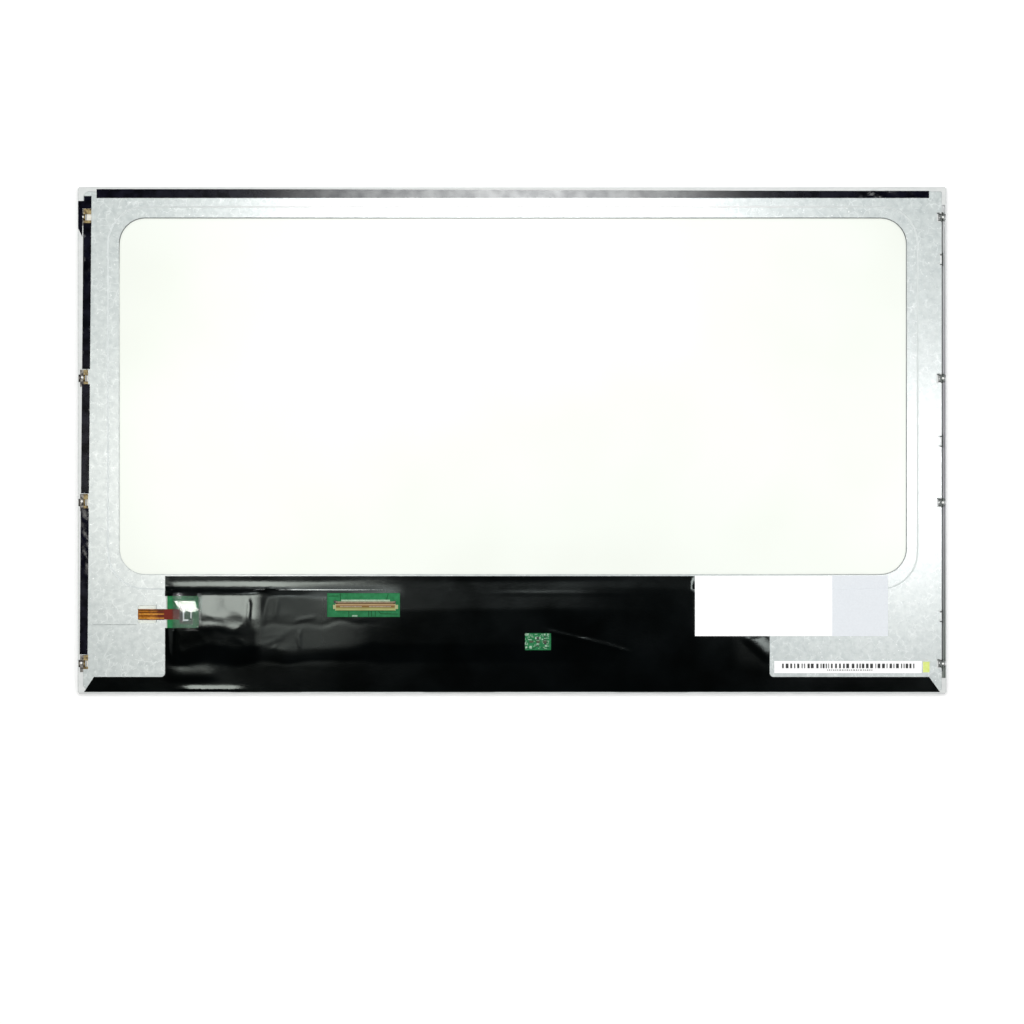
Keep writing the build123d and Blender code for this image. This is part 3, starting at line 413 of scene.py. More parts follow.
def shader(name, roughness, metallic=0.0, sockets=None):
    """A new material and its Principled shader."""
    material = bpy.data.materials.new(name)
    material.use_nodes = True
    principled = material.node_tree.nodes["Principled BSDF"]
    principled.inputs["Roughness"].default_value = roughness
    principled.inputs["Metallic"].default_value = metallic
    for socket, value in (sockets or {}).items():
        principled.inputs[socket].default_value = value
    return material, material.node_tree, principled


def feed(principled, socket, value):
    """Link a value to one of a shader's sockets."""
    principled.id_data.links.new(value, principled.inputs[socket])


def relief(tree, principled, height, depth):
    """Fine unevenness of a surface, its depth in millimetres."""
    bump = add(tree, "Bump", {"Height": height, "Strength": 1.0, "Distance": depth * MM})
    feed(principled, "Normal", bump.outputs["Normal"])


def mottled(name, dark, light, grain, roughness, metallic=0.0, depth=0.0, stretch=EVEN, sockets=None):
    """A surface whose colour and gloss wander between two tones."""
    material, tree, principled = shader(name, roughness, metallic, sockets)
    spots = cloud(tree, grain, 5.0, stretch)
    colour = blend(tree, spread(tree, spots, 0.32, 0.68), tone(*dark), tone(*light))
    feed(principled, "Base Color", colour)
    gloss = spread(tree, spots, 0.3, 0.7, roughness * 0.88, roughness * 1.12)
    feed(principled, "Roughness", gloss)
    if depth:
        relief(tree, principled, cloud(tree, grain * 0.35, 3.0, stretch), depth)
    return material


def galvanised():
    """Zinc-coated sheet with a fine spangle and small bright specks; its slopes carry a painted highlight,
    painted white as glare near the middle of its top.
    """
    coat = {"Coat Weight": 1.0, "Coat Roughness": 0.22, "Coat IOR": 1.7}
    material, tree, principled = shader("galvanised_sheet", 0.45, 0.25, coat)
    cells = add(tree, "TexVoronoi", {"Vector": position(tree), "Scale": 900.0, "Randomness": 1.0})
    flakes = add(tree, "SeparateColor", {"Color": cells.outputs["Color"]}).outputs["Red"]
    blotches = cloud(tree, 2.4, 8.0)
    base = blend(tree, spread(tree, blotches, 0.34, 0.66), tone(164, 172, 172), tone(184, 191, 190))
    wobble = add(tree, "TexNoise", {"Vector": position(tree), "Scale": 420.0, "Detail": 3.0}).outputs["Color"]
    shift = add(tree, "VectorMath", {0: wobble, "Scale": 0.0028}, operation="SCALE").outputs["Vector"]
    bent = add(tree, "VectorMath", {0: position(tree), 1: shift}, operation="ADD").outputs["Vector"]
    grains = add(tree, "TexVoronoi", {"Vector": bent, "Scale": 300.0}, feature="DISTANCE_TO_EDGE")
    borders = grains.outputs["Distance"]
    broken = spread(tree, cloud(tree, 3.2, 3.0), 0.44, 0.60, 0.0, 0.55)
    veins = times(tree, spread(tree, borders, 0.0, 0.07, 1.0, 0.0), broken)
    veined = blend(tree, veins, base, tone(222, 227, 226))
    spangled = blend(tree, spread(tree, flakes, 0.0, 1.0, 0.0, 0.24), veined, tone(214, 220, 218))
    dark_specks = spread(tree, cloud(tree, 0.5, 2.0), 0.30, 0.24, 0.0, 0.35)
    speckled = blend(tree, dark_specks, spangled, tone(150, 157, 156))
    specks = spread(tree, cloud(tree, 0.9, 2.0), 0.67, 0.79, 0.0, 0.8)
    sprinkled = blend(tree, specks, speckled, tone(250, 252, 251))
    normal = add(tree, "NewGeometry").outputs["True Normal"]
    facing = add(tree, "SeparateXYZ", {"Vector": normal}).outputs["Z"]
    # Painted highlight: faces that slope are lightened, and painted white as glare near the middle of the top
    upper = times(tree, fade(tree, "Y", GLARE_FROM), fade_aside(tree, "X", GLARE_REACH, 1.0, 0.0))
    slope_highlight = times(tree, spread(tree, facing, 0.90, 0.99, 1.0, 0.0), spread(tree, upper, 0.0, 1.0, 0.6, 1.0))
    glare_tone = blend(tree, upper, tone(228, 234, 233), tone(255, 255, 255))
    feed(principled, "Base Color", blend(tree, slope_highlight, sprinkled, glare_tone))
    gloss = spread(tree, flakes, 0.0, 1.0, 0.36, 0.54)
    feed(principled, "Roughness", gloss)
    relief(tree, principled, blotches, 0.012)
    return material


def reflector():
    """White reflecting film with a faint green-yellow cast and a half-gloss face."""
    material, tree, principled = shader("reflector_white", 0.32)
    wide = patches(tree, 60.0, 2.0, 0.35)
    colour = blend(tree, wide, tone(232, 236, 228), tone(236, 240, 233))
    feed(principled, "Base Color", colour)
    relief(tree, principled, cloud(tree, 7.0, 2.0), 0.002)
    return material


def dulled(tree, left, right, lower, upper, amount):
    """A value inside soft limits along X and Y, each limit given from and to in millimetres."""
    sides = times(tree, fade(tree, "X", left), fade(tree, "X", right, 1.0, 0.0))
    ends = times(tree, fade(tree, "Y", lower), fade(tree, "Y", upper, 1.0, 0.0))
    return times(tree, times(tree, sides, ends), amount)


def cover_film():
    """Glossy black film with fine dust, duller where it has been handled."""
    material, tree, principled = shader("film_black", 0.12, 0.0, FILM_GLOSS)
    dust = spread(tree, cloud(tree, 0.35, 2.0), 0.72, 0.80, 0.0, 0.06)
    wide = patches(tree, 22.0, 4.0, 0.35)
    black = blend(tree, wide, tone(1, 2, 2), tone(3, 5, 6))
    feed(principled, "Base Color", blend(tree, dust, black, tone(90, 92, 90)))
    gloss = spread(tree, wide, 0.0, 1.0, 0.1, 0.14)
    for area in FILM_DULLED:
        gloss = calc(tree, "ADD", dulled(tree, *area), gloss)
    feed(principled, "Roughness", gloss)
    relief(tree, principled, cloud(tree, 2.2, 3.0), 0.012)
    return material


def black_tape():
    """Thin adhesive tape, dull black with a cold gloss where it is stretched."""
    material, tree, principled = shader("tape_black", 0.16)
    stretched = fade_aside(tree, "X", TAPE_GLOSS_REACH, *TAPE_GLOSS, TAPE_STRETCHED)
    feed(principled, "Specular IOR Level", stretched)
    wide = patches(tree, 5.0, 4.0, 0.36)
    feed(principled, "Base Color", blend(tree, wide, tone(4, 4, 9), tone(8, 8, 24)))
    feed(principled, "Roughness", spread(tree, wide, 0.0, 1.0, 0.13, 0.2))
    relief(tree, principled, cloud(tree, 0.7, 3.0), 0.004)
    return material


def paper():
    """White label stock, with a lilac-grey field on the wide label's right-hand part."""
    material, tree, principled = shader("label_white", 0.55)
    fibre = patches(tree, 0.8, 6.0, 0.35)
    white = blend(tree, fibre, tone(250, 250, 250), tone(254, 254, 254))
    lilac = blend(tree, fibre, tone(221, 225, 230), tone(225, 229, 234))
    field = times(tree, fade(tree, "X", FIELD_LEFT), fade(tree, "Y", FIELD_LOWER))
    feed(principled, "Base Color", blend(tree, field, white, lilac))
    relief(tree, principled, fibre, 0.004)
    return material


def clear(name, tint, roughness, weight):
    """A see-through film or glass, a little milky."""
    material, tree, principled = shader(name, roughness, 0.0, {"Transmission Weight": weight, "IOR": 1.45})
    haze = patches(tree, 6.0, 4.0, 0.35)
    red, green, blue = tint
    darker = tone(red - 10, green - 8, blue - 8)
    feed(principled, "Base Color", blend(tree, haze, darker, tone(*tint)))
    feed(principled, "Roughness", spread(tree, haze, 0.0, 1.0, roughness * 0.8, roughness * 1.2))
    return material


def flex():
    """Flexible circuit: a white strip along the edge, an amber tail, and red-brown near the film."""
    material, tree, principled = shader("flex_amber", 0.45, 0.0, {"Specular IOR Level": 0.15})
    mottle = patches(tree, 1.4, 5.0, 0.34)
    amber = blend(tree, mottle, tone(140, 78, 10), tone(190, 118, 34))
    white = blend(tree, mottle, tone(226, 222, 210), tone(240, 238, 230))
    tail = blend(tree, fade(tree, "X", TAIL_AMBER_FROM), white, amber)
    reddened = blend(tree, fade(tree, "X", TAIL_RED_FROM), tail, tone(104, 26, 12))
    feed(principled, "Base Color", reddened)
    return material


def outside(tree, left, right):
    """One to the left of a first place along X and to the right of a second, nought between them."""
    past_left = fade(tree, "X", (left, left + BAND_EDGE), 1.0, 0.0)
    past_right = fade(tree, "X", (right - BAND_EDGE, right))
    return calc(tree, "MAXIMUM", past_left, past_right)


def banded(name, bands, roughness, ends=None, hole_shade=None):
    """Plating with bands along X, given from the bottom up, other tones at its ends, and painted shade in the
    holes at its upper corners.
    """
    material, tree, principled = shader(name, roughness, 0.0, {"Specular IOR Level": 0.2})
    low, high = bands[0][0], bands[-1][0]
    ramp_node = add(tree, "ValToRGB", {"Fac": fade(tree, "Y", (low, high))})
    stops = ramp_node.color_ramp.elements
    for place, colour in bands[1:-1]:
        stops.new((place - low) / (high - low)).color = tone(*colour)
    stops[0].color = tone(*bands[0][1])
    stops[len(stops) - 1].color = tone(*bands[-1][1])
    streaks = spread(tree, cloud(tree, 1.3, 4.0, (0.25, 1, 1)), 0.34, 0.66, 0.72, 1.0)
    colour = blend(tree, streaks, tone(120, 92, 58), ramp_node.outputs["Color"])
    if ends:
        left, right, end_tone = ends
        colour = blend(tree, outside(tree, left, right), colour, tone(*end_tone))
    if hole_shade:
        left, right, lower, hole_shade_tone = hole_shade
        above = fade(tree, "Y", (lower, lower + HOLE_EDGE))
        colour = blend(tree, times(tree, outside(tree, left, right), above), colour, tone(*hole_shade_tone))
    feed(principled, "Base Color", colour)
    return material


def clip():
    """Brass clips whose barrels are bare steel."""
    material, tree, principled = shader("clip_brass", 0.4, 0.2, {"Specular IOR Level": 0.3})
    wear = patches(tree, 1.1, 5.0, 0.38)
    brass = blend(tree, wear, tone(84, 66, 34), tone(158, 140, 96))
    steel = blend(tree, wear, tone(44, 40, 38), tone(140, 136, 130))
    barrel = fade(tree, "X", BARREL_TO, 1.0, 0.0)
    feed(principled, "Base Color", blend(tree, barrel, brass, steel))
    relief(tree, principled, wear, 0.01)
    return material


def rail():
    """Steel strip with painted shade towards its lower end and a painted reflection that makes it paler
    towards its upper end.
    """
    material, tree, principled = shader("rail_steel", 0.42, 0.3)
    wear = spread(tree, cloud(tree, 4.0, 5.0, (1, 0.15, 1)), 0.34, 0.66, 0.86, 1.0)
    # Painted shade towards the lower end, then a paler painted reflection towards the upper end
    lower = blend(tree, fade(tree, "Y", RAIL_SHADE_TO), tone(118, 125, 120), tone(158, 158, 162))
    shade = blend(tree, fade(tree, "Y", RAIL_GLARE_FROM), lower, tone(198, 200, 200))
    feed(principled, "Base Color", blend(tree, wear, tone(90, 92, 92), shade))
    return material


def polariser():
    """Dark polarising film, with the picture area a shade lighter than its border."""
    coat = {"Coat Weight": 0.15, "Coat Roughness": 0.3}
    material, tree, principled = shader("polariser_dark", 0.34, 0.0, coat)
    grain = patches(tree, 0.4, 3.0, 0.3)
    screen = blend(tree, grain, tone(20, 21, 24), tone(27, 28, 32))
    border = blend(tree, grain, tone(8, 8, 10), tone(13, 13, 15))
    in_width = fade_aside(tree, "X", SCREEN_HALF_WIDTH, 1.0, 0.0)
    in_height = fade_aside(tree, "Y", SCREEN_HALF_HEIGHT, 1.0, 0.0)
    picture = times(tree, in_width, in_height)
    feed(principled, "Base Color", blend(tree, picture, border, screen))
    relief(tree, principled, cloud(tree, 0.12, 2.0), 0.002)
    return material


def make_materials():
    """One material for every material slot of the part."""
    materials = {slot: mottled(slot, *look) for slot, look in PLAIN_SURFACES.items()}
    materials.update({
        "galvanised_sheet": galvanised(),
        "rail_steel": rail(),
        "clip_brass": clip(),
        "polariser_dark": polariser(),
        "cell_glass": clear("cell_glass", (205, 222, 216), 0.08, 0.6),
        "guide_acrylic": clear("guide_acrylic", (228, 240, 238), 0.08, 0.7),
        "reflector_white": reflector(),
        "flex_amber": flex(),
        "contact_gold": banded("contact_gold", CONTACT_BANDS, 0.4),
        "shell_gold": banded("shell_gold", SHELL_BANDS_WITH_SHADOW, 0.5, SHELL_ENDS, SHELL_HOLE_SHADE),
        "film_black": cover_film(),
        "film_clear": clear("film_clear", (244, 250, 248), 0.1, 0.975),
        "tape_black": black_tape(),
        "label_white": paper(),
    })
    return materials


def dress(materials):
    """Give every CAD node the material of its slot."""
    for subpart in frame["record"]["subparts"]:
        mesh = frame["nodes"][subpart["node"]].data
        mesh.materials.clear()
        mesh.materials.append(materials[subpart["material_slot"]])


def new_piece(name, points, faces, material, smooth=0):
    """A mesh made of points in millimetres that belongs to the part, its first faces shaded smooth."""
    mesh = bpy.data.meshes.new(name)
    mesh.from_pydata((np.asarray(points, float) * MM).tolist(), [], faces)
    mesh.materials.append(material)
    mesh.polygons.foreach_set("use_smooth", [i < smooth for i in range(len(faces))])
    mesh.update()
    piece = bpy.data.objects.new(name, mesh)
    scene.collection.objects.link(piece)
    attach(piece, "root")
    return piece


def prism(loop, low, high):
    """Points and faces of a closed loop raised from one level to another."""
    count = len(loop)
    points = [(x, y, low) for x, y in loop] + [(x, y, high) for x, y in loop]
    faces = [tuple(reversed(range(count))), tuple(range(count, 2 * count))]
    for i in range(count):
        j = (i + 1) % count
        faces.append((i, j, count + j, count + i))
    return points, faces


def rectangle(x_from, x_to, y_from, y_to):
    return [(x_from, y_from), (x_to, y_from), (x_to, y_to), (x_from, y_to)]


def run(start, end, width):
    """A straight strip between two points."""
    along = np.subtract(end, start)
    side = np.array((-along[1], along[0])) / np.hypot(*along) * width / 2
    corners = (start - side, end - side, end + side, start + side)
    return [tuple(corner) for corner in corners]


def slabs(places, low, high):
    """A slab between two levels for every rectangle."""
    return [(rectangle(*place), low, high) for place in places]


def prisms(name, parts, material):
    """One piece made of several prisms, each a loop with its lower and upper level."""
    points, faces = [], []
    for loop, low, high in parts:
        some_points, some_faces = prism(loop, low, high)
        faces += [tuple(i + len(points) for i in face) for face in some_faces]
        points += some_points
    return new_piece(name, points, faces, material)


def plan_loops(node):
    """Closed loops round a node's upper side, as seen from the back, the longest first."""
    mesh = frame["nodes"][node].data
    places = [tuple(np.round(np.array(v.co[:2]) / MM, 3)) for v in mesh.vertices]
    open_edges = set()
    for polygon in mesh.polygons:
        if polygon.normal.z < UPWARD:
            continue
        corners = [places[i] for i in polygon.vertices]
        for start, end in zip(corners, corners[1:] + corners[:1]):
            if start == end:
                continue
            if (end, start) in open_edges:
                open_edges.remove((end, start))
            else:
                open_edges.add((start, end))
    following = dict(sorted(open_edges))
    loops = []
    while following:
        start = next(iter(following))
        loop = [start]
        place = following.pop(start)
        while place != start and place in following:
            loop.append(place)
            place = following.pop(place)
        loops.append(straightened(loop))
    return sorted(loops, key=lambda loop: -len_round(loop))


def len_round(loop):
    return sum(math.dist(a, b) for a, b in zip(loop, loop[1:] + loop[:1]))


def straightened(loop):
    """A loop without the points that lie on a straight line between their neighbours."""
    kept = []
    for i, point in enumerate(loop):
        before, after = loop[i - 1], loop[(i + 1) % len(loop)]
        first = np.subtract(point, before)
        second = np.subtract(after, point)
        if abs(first[0] * second[1] - first[1] * second[0]) > 1e-3:
            kept.append(point)
    return kept


def rounded(loop, radius, steps=6):
    """A loop with its sharp corners rounded where its sides are long enough."""
    result = []
    for i, point in enumerate(loop):
        corner = np.array(point)
        back = np.subtract(loop[i - 1], corner)
        forth = np.subtract(loop[(i + 1) % len(loop)], corner)
        lengths = np.hypot(*back), np.hypot(*forth)
        cosine = float(back @ forth) / (lengths[0] * lengths[1])
        if min(lengths) < 2.2 * radius or abs(cosine) > 0.3:
            result.append(point)
            continue
        start = corner + back / lengths[0] * radius
        end = corner + forth / lengths[1] * radius
        for t in np.linspace(0, 1, steps + 1):
            result.append(tuple((1 - t) ** 2 * start + 2 * t * (1 - t) * corner + t * t * end))
    return result


def divided(loop, spacing):
    """A loop with points no further apart than the spacing."""
    result = []
    for start, end in zip(loop, loop[1:] + loop[:1]):
        count = max(1, math.ceil(math.dist(start, end) / spacing))
        for i in range(count):
            result.append(tuple(np.add(start, np.subtract(end, start) * i / count)))
    return result


def inside(x, y, loops):
    """Whether points lie inside the first loop and outside the others."""
    crossed = np.zeros(len(x), bool)
    for loop in loops:
        for (x1, y1), (x2, y2) in zip(loop, loop[1:] + loop[:1]):
            if y1 == y2:
                continue
            spans = (y1 > y) != (y2 > y)
            crossed ^= spans & (x < (x2 - x1) * (y - y1) / (y2 - y1) + x1)
    return crossed


def meshed(loops, spacing, seed):
    """Closely spaced points and triangles that fill the first loop and leave the others open."""
    rims = [divided(loop, spacing) for loop in loops]
    edges, rim = [], []
    for loop in rims:
        first = len(rim)
        edges += [(first + i, first + (i + 1) % len(loop)) for i in range(len(loop))]
        rim += loop
    rim = np.array(rim)
    low, high = rim.min(0), rim.max(0)
    columns, rows = np.meshgrid(*(np.arange(low[i], high[i], spacing) for i in range(2)))
    chance = np.random.default_rng(seed)
    columns = (columns + chance.uniform(-MESH_SHIFT, MESH_SHIFT, columns.shape) * spacing).ravel()
    rows = (rows + chance.uniform(-MESH_SHIFT, MESH_SHIFT, rows.shape) * spacing).ravel()
    within = inside(columns, rows, loops)
    filling = np.stack((columns[within], rows[within]), 1)
    clearance = np.full(len(filling), np.inf)
    for point in rim:
        clearance = np.minimum(clearance, np.hypot(*(filling - point).T))
    filling = filling[clearance > RIM_CLEARANCE * spacing]
    points = [Vector(point) for point in np.concatenate((rim, filling)).tolist()]
    found = delaunay_2d_cdt(points, edges, [], 0, 1e-5)
    places = np.array([tuple(point) for point in found[0]])
    triangles = np.array([face for face in found[2] if len(face) == 3])
    middles = places[triangles].mean(1)
    return places, triangles[inside(middles[:, 0], middles[:, 1], loops)]


def skin(places, triangles, heights, thickness):
    """Points and faces of a thin closed sheet under its heights, the walls last and on their own points."""
    count = len(places)
    upper = np.column_stack((places, heights))
    lower = np.column_stack((places, heights - thickness))
    a, b, c = (places[triangles[:, i]] for i in range(3))
    turn = (b[:, 0] - a[:, 0]) * (c[:, 1] - a[:, 1]) - (b[:, 1] - a[:, 1]) * (c[:, 0] - a[:, 0])
    triangles = np.where((turn < 0)[:, None], triangles[:, ::-1], triangles)
    faces = [tuple(face) for face in triangles.tolist()]
    directed = {edge for p, q, r in faces for edge in ((p, q), (q, r), (r, p))}
    rims = [(q, p, p + count, q + count) for p, q in sorted(directed) if (q, p) not in directed]
    under = [(r + count, q + count, p + count) for p, q, r in faces]
    points = np.concatenate((upper, lower))
    wall_points = points[np.array(rims).ravel()]
    firsts = range(2 * count, 2 * count + len(wall_points), 4)
    walls = [tuple(range(first, first + 4)) for first in firsts]
    return np.concatenate((points, wall_points)), faces + under + walls


def ease(value):
    """A smooth step from 0 to 1."""
    held = np.clip(value, 0.0, 1.0)
    return held * held * (3 - 2 * held)


def ramp(value, limits):
    return ease((value - limits[0]) / (limits[1] - limits[0]))


def soft_area(x, y, left, right, lower, upper):
    """One inside soft limits along X and Y, nought outside them."""
    return ramp(x, left) * (1 - ramp(x, right)) * ramp(y, lower) * (1 - ramp(y, upper))


def crease(x, y, start, end, rise, left, right):
    """Height of a fold line that falls off over one width on its left side and another on its right."""
    along = np.subtract(end, start)
    length = np.hypot(*along)
    forward = ((x - start[0]) * along[0] + (y - start[1]) * along[1]) / length ** 2
    aside = (along[0] * (y - start[1]) - along[1] * (x - start[0])) / length
    flank = ease(1 - np.abs(aside) / np.where(aside > 0, left, right))
    return rise * flank * ease(forward / CREASE_END) * ease((1 - forward) / CREASE_END)


def across_film(y, heights):
    """Height of the film along Y, with its bends softened."""
    places, levels = zip(*heights)
    return np.mean([np.interp(y + step, places, levels) for step in BEND_STEPS], axis=0)


def wander(x, y, size, seed):
    """Smooth noise from -1 to 1 at every place."""
    scale = 1 / size
    return np.array([noise.noise(Vector((a * scale, b * scale, seed))) for a, b in zip(x, y)])


def level_of(node, x, y, otherwise):
    """Height of a node's upper side at a place."""
    above = Vector((x, y, RAY_LEVEL)) * MM
    hit, place, _, _ = frame["nodes"][node].ray_cast(above, Vector((0, 0, -1)))
    return place.z / MM if hit else otherwise


def film_height(x, y):
    """Height of the cover film's upper side."""
    slack = SLACK * (1 - ramp(x, SLACK_TO)) * ramp(y, SLACK_LOWER) * (1 - ramp(y, SLACK_UPPER))
    bent_x = x + slack * wander(x, y, SLACK_SIZE, 1.7)
    bent_y = y + slack * wander(x, y, SLACK_SIZE, 8.2)
    lengths = {name: across_film(bent_y, heights) for name, heights in FILM_HEIGHTS.items()}
    loose, creased, taut = lengths["loose"], lengths["creased"], lengths["taut"]
    height = loose + (creased - loose) * ramp(bent_x, CREASED_FROM)
    height = height + (taut - height) * ramp(bent_x, TAUT_FROM)
    flat = flat_height(x, y, lengths["flat"])
    height = height + (flat - height) * np.maximum(ramp(x, FLAT_FROM), 1 - ramp(x, FILM_LEFT_END))
    for fold in FILM_CREASES:
        height = height + crease(bent_x, bent_y, *fold)
    height = height + crease(x, y, *FILM_FACET) * ease(LABEL_COVERS_Y[0] - y)
    crumpled = (1 - np.abs(wander(x, y, CRUMPLE_SIZE, 3.5))) ** 2
    height = height + CRUMPLE_RISE * crumpled * soft_area(x, y, *CRUMPLE_AREA)
    covered = ramp(x, LABEL_COVERS_X) * ramp(y, LABEL_COVERS_Y)
    return np.minimum(height, FILM_TOP) - LABEL_SINK * covered


def flat_height(x, y, bridging):
    """Height of the film where it lies on the plate, and bridges the plate's step short of the label."""
    on_plate = BACK_LEVEL + FILM_THICKNESS
    inner_x = x * (1 - FILM_INSET[0])
    inner_y = y + (FILM_MIDDLE - y) * FILM_INSET[1]
    levels = np.array([level_of("board_cover_film", a, b, on_plate) for a, b in zip(inner_x, inner_y)])
    levels = np.where(levels > on_plate + FILM_THICKNESS, on_plate, levels)
    near_label = ramp(x, LABEL_NEAR_X) * ramp(y, LABEL_COVERS_Y)
    return np.where(x > 0, bridging + (levels - bridging) * near_label, levels)


def sheet(name, places, triangles, heights, thickness, materials, slot):
    """A thin piece that is shaded smooth on both sides."""
    points, faces = skin(places, triangles, heights, thickness)
    return new_piece(name, points, faces, materials[slot], 2 * len(triangles))


def cover_film_piece(materials):
    """The wrinkled cover film over the board and along the bottom edge."""
    outline, *openings = plan_loops("board_cover_film")
    loops = [outline] + [rounded(opening, FILM_CORNER) for opening in openings]
    places, triangles = meshed(loops, FILM_SPACING, 1)
    heights = film_height(*places.T)
    piece = sheet("cover_film_wrinkled", places, triangles, heights, FILM_THICKNESS, materials, "film_black")
    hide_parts("board_cover_film")


def tape_piece(node, materials, seed):
    """A tape with a crumpled face; the top one runs askew, and the side ones lap over the clip above them."""
    loops = plan_loops(node)
    places, triangles = meshed(loops, TAPE_SPACING, seed)
    x, y = places.T
    base = np.array([level_of(node, a, b, BACK_LEVEL + TAPE_THICKNESS) for a, b in zip(x, y)])
    folds = (1 - np.abs(wander(x, y, RIDGE_SIZE, seed * 7.3))) ** 4
    ridges = folds * ease(wander(x, y, RIDGE_PATCH, seed * 2.9) * 2.5)
    rise = TAPE_CRUMPLE
    if node == "top_edge_tape":
        share = (y - y.min()) / (y.max() - y.min())
        rise = TOP_TAPE_CRUMPLE * ramp(x, TOP_TAPE_CRUMPLED)
        places = np.column_stack((x, y - TOP_TAPE_DROP * share * ramp(x, TOP_TAPE_ASKEW)))
    if node in LAPPED_TAPES:
        lapped = ease((y - y.max() + TAPE_LAP_FROM) / TAPE_LAP_FROM)
        places = np.column_stack((x, y + TAPE_LAP * lapped))
    heights = base + rise * ridges
    piece = sheet(node + "_crumpled", places, triangles, heights, TAPE_THICKNESS, materials, "tape_black")
    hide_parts(node)


def clear_height(x, y):
    """Height of the clear film before its left edge comes down, with its bends softened."""
    low = np.minimum(CLEAR_LOW + CLEAR_SLANT * np.maximum(0.0, CLEAR_SLANT_FROM - x), CLEAR_HIGH)
    levels = []
    for step in BEND_STEPS:
        gentle = np.maximum(0.0, np.minimum(y + step, CLEAR_HIGH) - low)
        steep = np.maximum(0.0, y + step - CLEAR_HIGH)
        levels.append(CLEAR_SLOPES[0] * gentle + CLEAR_SLOPES[1] * steep)
    return CLEAR_HEIGHT - np.mean(levels, axis=0) * (1 - ramp(x, CLEAR_LEVEL_FROM))


def clear_film_piece(materials):
    """Clear film that sags a little over the end of the board."""
    loops = plan_loops("clear_end_film")
    places, triangles = meshed(loops, FILM_SPACING, 9)
    x, y = places.T
    heights = clear_height(x, y) - CLEAR_RISE * (1 - ramp(x, CLEAR_RISE_TO))
    piece = sheet("clear_film_sagging", places, triangles, heights, FILM_THICKNESS, materials, "film_clear")
    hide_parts("clear_end_film")


def bar_label_print(materials):
    """A row of plain bars of chance widths and a row of small dashes."""
    chance = random.Random(11)
    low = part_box("bar_label")[1].z / MM
    high = low + INK_THICKNESS
    parts = []
    left, right, bottom, top = BAR_PLACE
    while left < right - BAR_WIDTH[1]:
        width = chance.uniform(*BAR_WIDTH)
        parts.append((rectangle(left, left + width, bottom, top), low, high))
        left += width + chance.uniform(*BAR_GAP)
    left, right, bottom, top = DASH_PLACE
    while left < right:
        width = chance.uniform(*DASH_WIDTH)
        parts.append((rectangle(left, left + width, bottom, top), low, high))
        left += width + DASH_GAP
    prisms("bar_label_bars", parts, materials["shade_black"])


def connector_marks():
    """White lines printed on the tail connector."""
    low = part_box("tail_connector")[1].z / MM
    ink = mottled("ink_white", (222, 232, 226), (244, 248, 246), 0.6, 0.5)
    marks = slabs(CONNECTOR_MARKS, low, low + INK_THICKNESS)
    prisms("tail_connector_marks", marks, ink)


def draped_strip(node, span, sides, thickness):
    """Points and faces of a strip along X that lies on a node's upper side."""
    middle = (sides[0] + sides[1]) / 2
    points, faces = [], []
    stations = np.linspace(*span, TAIL_STATIONS)
    for x in stations:
        low = level_of(node, x, middle, BACK_LEVEL)
        points += [(x, side, level) for level in (low, low + thickness) for side in sides]
    for i in range(len(stations) - 1):
        a, b = 4 * i, 4 * (i + 1)
        faces += [(a + 2, b + 2, b + 3, a + 3), (a + 1, b + 1, b, a)]
        faces += [(a, b, b + 2, a + 2), (a + 3, b + 3, b + 1, a + 1)]
    last = 4 * (len(stations) - 1)
    faces += [(0, 2, 3, 1), (last + 1, last + 3, last + 2, last)]
    return points, faces


def tail_lines():
    """Copper lines of the backlight tail, seen through its amber cover."""
    dark = mottled("tail_copper_dark", (60, 32, 6), (96, 54, 10), 0.8, 0.4, sockets=DULL)
    gold = mottled("tail_copper_gold", (170, 112, 26), (214, 156, 70), 0.8, 0.4, sockets=DULL)
    for name, lines, material in (("dark", TAIL_LINES_DARK, dark), ("gold", TAIL_LINES_GOLD, gold)):
        for number, sides in enumerate(lines):
            points, faces = draped_strip("light_bar_flex", TAIL_SPAN, sides, INK_THICKNESS)
            new_piece(f"tail_line_{name}_{number}", points, faces, material)


def round_frame(edges, corner, steps=12):
    """Closed loop of a rectangle with round corners."""
    x_from, x_to, y_from, y_to = edges
    centres = ((x_to - corner, y_to - corner), (x_from + corner, y_to - corner),
               (x_from + corner, y_from + corner), (x_to - corner, y_from + corner))
    loop = []
    for quarter, (x, y) in enumerate(centres):
        for i in range(steps + 1):
            angle = math.pi / 2 * (quarter + i / steps)
            loop.append((x + corner * math.cos(angle), y + corner * math.sin(angle)))
    return loop


def ring(outer, inner, low, high):
    """Points and faces between two loops with the same number of points."""
    count = len(outer)
    rims = ((outer, high), (inner, high), (outer, low), (inner, low))
    points = [(x, y, z) for loop, z in rims for x, y in loop]
    faces = []
    for i in range(count):
        j = (i + 1) % count
        faces.append((i, j, count + j, count + i))
        faces.append((count + i, count + j, 3 * count + j, 3 * count + i))
        faces.append((3 * count + i, 3 * count + j, 2 * count + j, 2 * count + i))
        faces.append((2 * count + i, 2 * count + j, j, i))
    return points, faces


def painted_edge_shade():
    """Painted light and shade of the window's edge: a pale tone, with painted shade darkest along the top and
    dark at the right.
    """
    material, tree, principled = shader("painted_edge_shade", 0.8)
    wear = patches(tree, 3.0, 5.0, 0.34)
    dark = blend(tree, wear, tone(84, 88, 88), tone(104, 109, 108))
    pale = blend(tree, wear, tone(176, 182, 180), tone(200, 205, 203))
    side = calc(tree, "MAXIMUM", fade(tree, "Y", LIP_SHADE_TOP), fade(tree, "X", LIP_SHADE_RIGHT, 0.0, 0.7))
    feed(principled, "Base Color", blend(tree, side, pale, dark))
    return material


